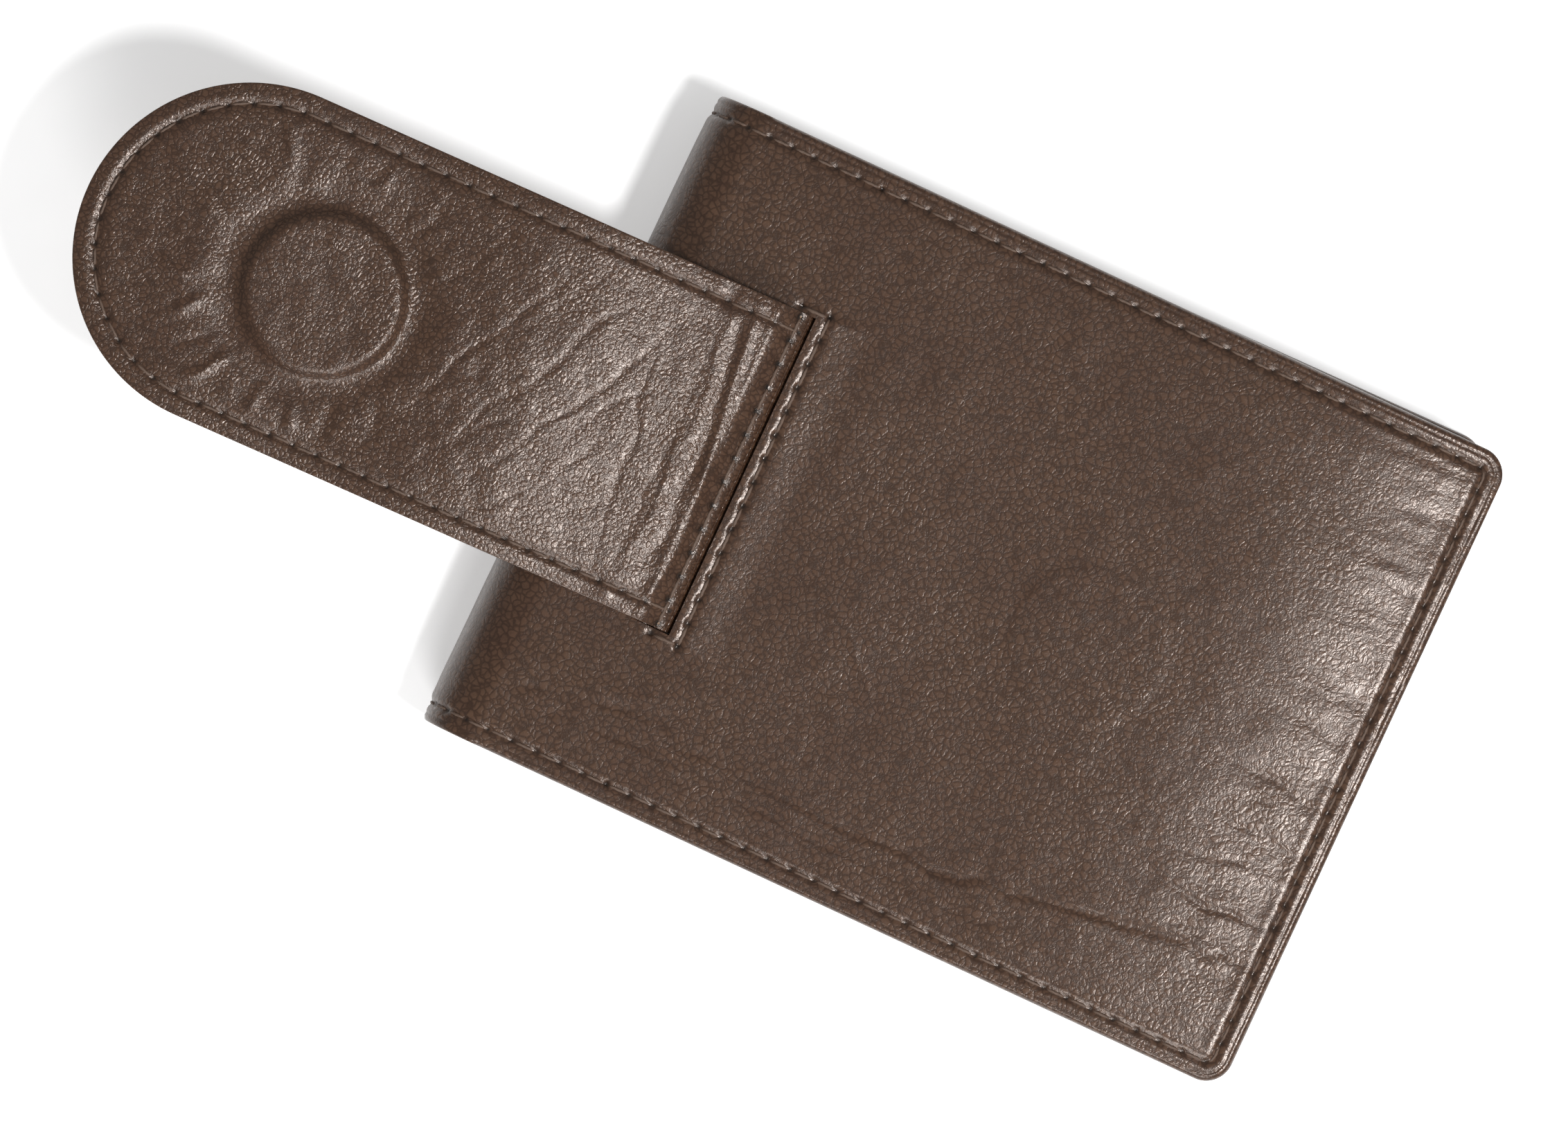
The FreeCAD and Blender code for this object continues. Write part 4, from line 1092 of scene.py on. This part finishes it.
nickel = newMaterial("bright nickel plating")  # mirror-like, a little softened by its rolled surface
worn = addNode(nickel, "ShaderNodeTexNoise", {}, {"Scale": 900.0, "Detail": 3.0}).outputs[0]
gloss = addNode(nickel, "ShaderNodeMapRange", {}, {0: worn, 3: 0.18, 4: 0.34}).outputs[0]
plate = addNode(nickel, "ShaderNodeBsdfPrincipled", {},
                {"Base Color": colour("#c8c3ba"), "Metallic": 1.0, "Roughness": gloss})
addNode(nickel, "ShaderNodeOutputMaterial", {}, {0: plate.outputs[0]})

clearFilm = newMaterial("clear PVC film")  # glossy, very slightly hazy, with faint ripples
ripple = addNode(clearFilm, "ShaderNodeTexNoise", {}, {"Scale": 60.0, "Detail": 1.0}).outputs[0]
ripples = addNode(
    clearFilm, "ShaderNodeBump", {}, {"Strength": 1.0, "Distance": 0.1 * mm, "Height": ripple}
)
film = addNode(clearFilm, "ShaderNodeBsdfPrincipled", {},
               {"Base Color": colour("#f4f6f5"), "Roughness": 0.06, "IOR": 1.53, "Transmission Weight": 1.0,
                "Normal": ripples.outputs[0]})
addNode(clearFilm, "ShaderNodeOutputMaterial", {}, {0: film.outputs[0]})

for node, material in (("lower_board", stiffener), ("upper_board", stiffener), ("magnet_patch", feltPatch),
                       ("base_magnet", nickel), ("strap_magnet", nickel), ("id_window_film", clearFilm)):
    piece = frame["nodes"][node]
    piece.data.materials.clear()
    piece.data.materials.append(material)


# floor, light and camera

floorLook = {
    "dark": "#f1f1f1", "light": "#f5f5f5",
    "glow": 0.4,  # lit through from below as on a light table, so that shadows stay faint
    "reach": 2.5,
    "below": 0.0002,
}
floorMaterial = newMaterial("matt white paper")  # uncoated paper: no sheen
fibre = addNode(floorMaterial, "ShaderNodeTexNoise", {}, {"Scale": 400.0, "Detail": 2.0}).outputs[0]
paper = addNode(floorMaterial, "ShaderNodeValToRGB", {}, {0: fibre},
                [(0.3, colour(floorLook["dark"])), (0.7, colour(floorLook["light"]))]).outputs[0]
sheet = addNode(floorMaterial, "ShaderNodeBsdfPrincipled", {},
                {"Base Color": paper, "Roughness": 0.9, "Emission Color": (1, 1, 1, 1),
                 "Emission Strength": floorLook["glow"]})
addNode(floorMaterial, "ShaderNodeOutputMaterial", {}, {0: sheet.outputs[0]})
floorMesh = bpy.data.meshes.new("paper_floor")
reach, level = floorLook["reach"], -floorLook["below"]
floorMesh.from_pydata([(-reach, -reach, level), (reach, -reach, level), (reach, reach, level),
                       (-reach, reach, level)], [], [(0, 1, 2, 3)])
floorMesh.materials.append(floorMaterial)
floor = bpy.data.objects.new("paper_floor", floorMesh)
bpy.context.scene.collection.objects.link(floor)

lightLook = {
    "key": {"from": (0.43, -0.07, 0.82), "size": 0.2, "power": 9.0},
    "side": {"from": (0.25, -0.68, 0.56), "size": 0.4, "power": 4.6},
    "sky": 0.36,
}
target = Vector((0, 0, 0.01))
for name in ("key", "side"):
    setting = lightLook[name]
    lamp = bpy.data.lights.new(name, "AREA")
    lamp.shape, lamp.size, lamp.energy = "DISK", setting["size"], setting["power"]
    holder = bpy.data.objects.new(name, lamp)
    holder.location = setting["from"]
    holder.rotation_euler = (target - Vector(setting["from"])).to_track_quat("-Z", "Y").to_euler()
    bpy.context.scene.collection.objects.link(holder)
world = bpy.data.worlds.new("soft studio")
world.use_nodes = True
world.node_tree.nodes["Background"].inputs[0].default_value = (1, 1, 1, 1)
world.node_tree.nodes["Background"].inputs[1].default_value = lightLook["sky"]
bpy.context.scene.world = world
bpy.context.scene.view_settings.view_transform = "Standard"

cameraLook = {"over": (-21.5, -7.5), "distance": 1200.0, "width": 194.0, "turn": 24.9}
camera = bpy.data.cameras.new("overhead")
camera.lens = camera.sensor_width * cameraLook["distance"] / cameraLook["width"]
cameraHolder = bpy.data.objects.new("overhead", camera)
cameraHolder.location = Vector((*cameraLook["over"], closedHeight + cameraLook["distance"])) * mm
cameraHolder.rotation_euler = (0, 0, math.radians(cameraLook["turn"]))
bpy.context.scene.collection.objects.link(cameraHolder)
bpy.context.scene.camera = cameraHolder
print("floor, light and camera set")
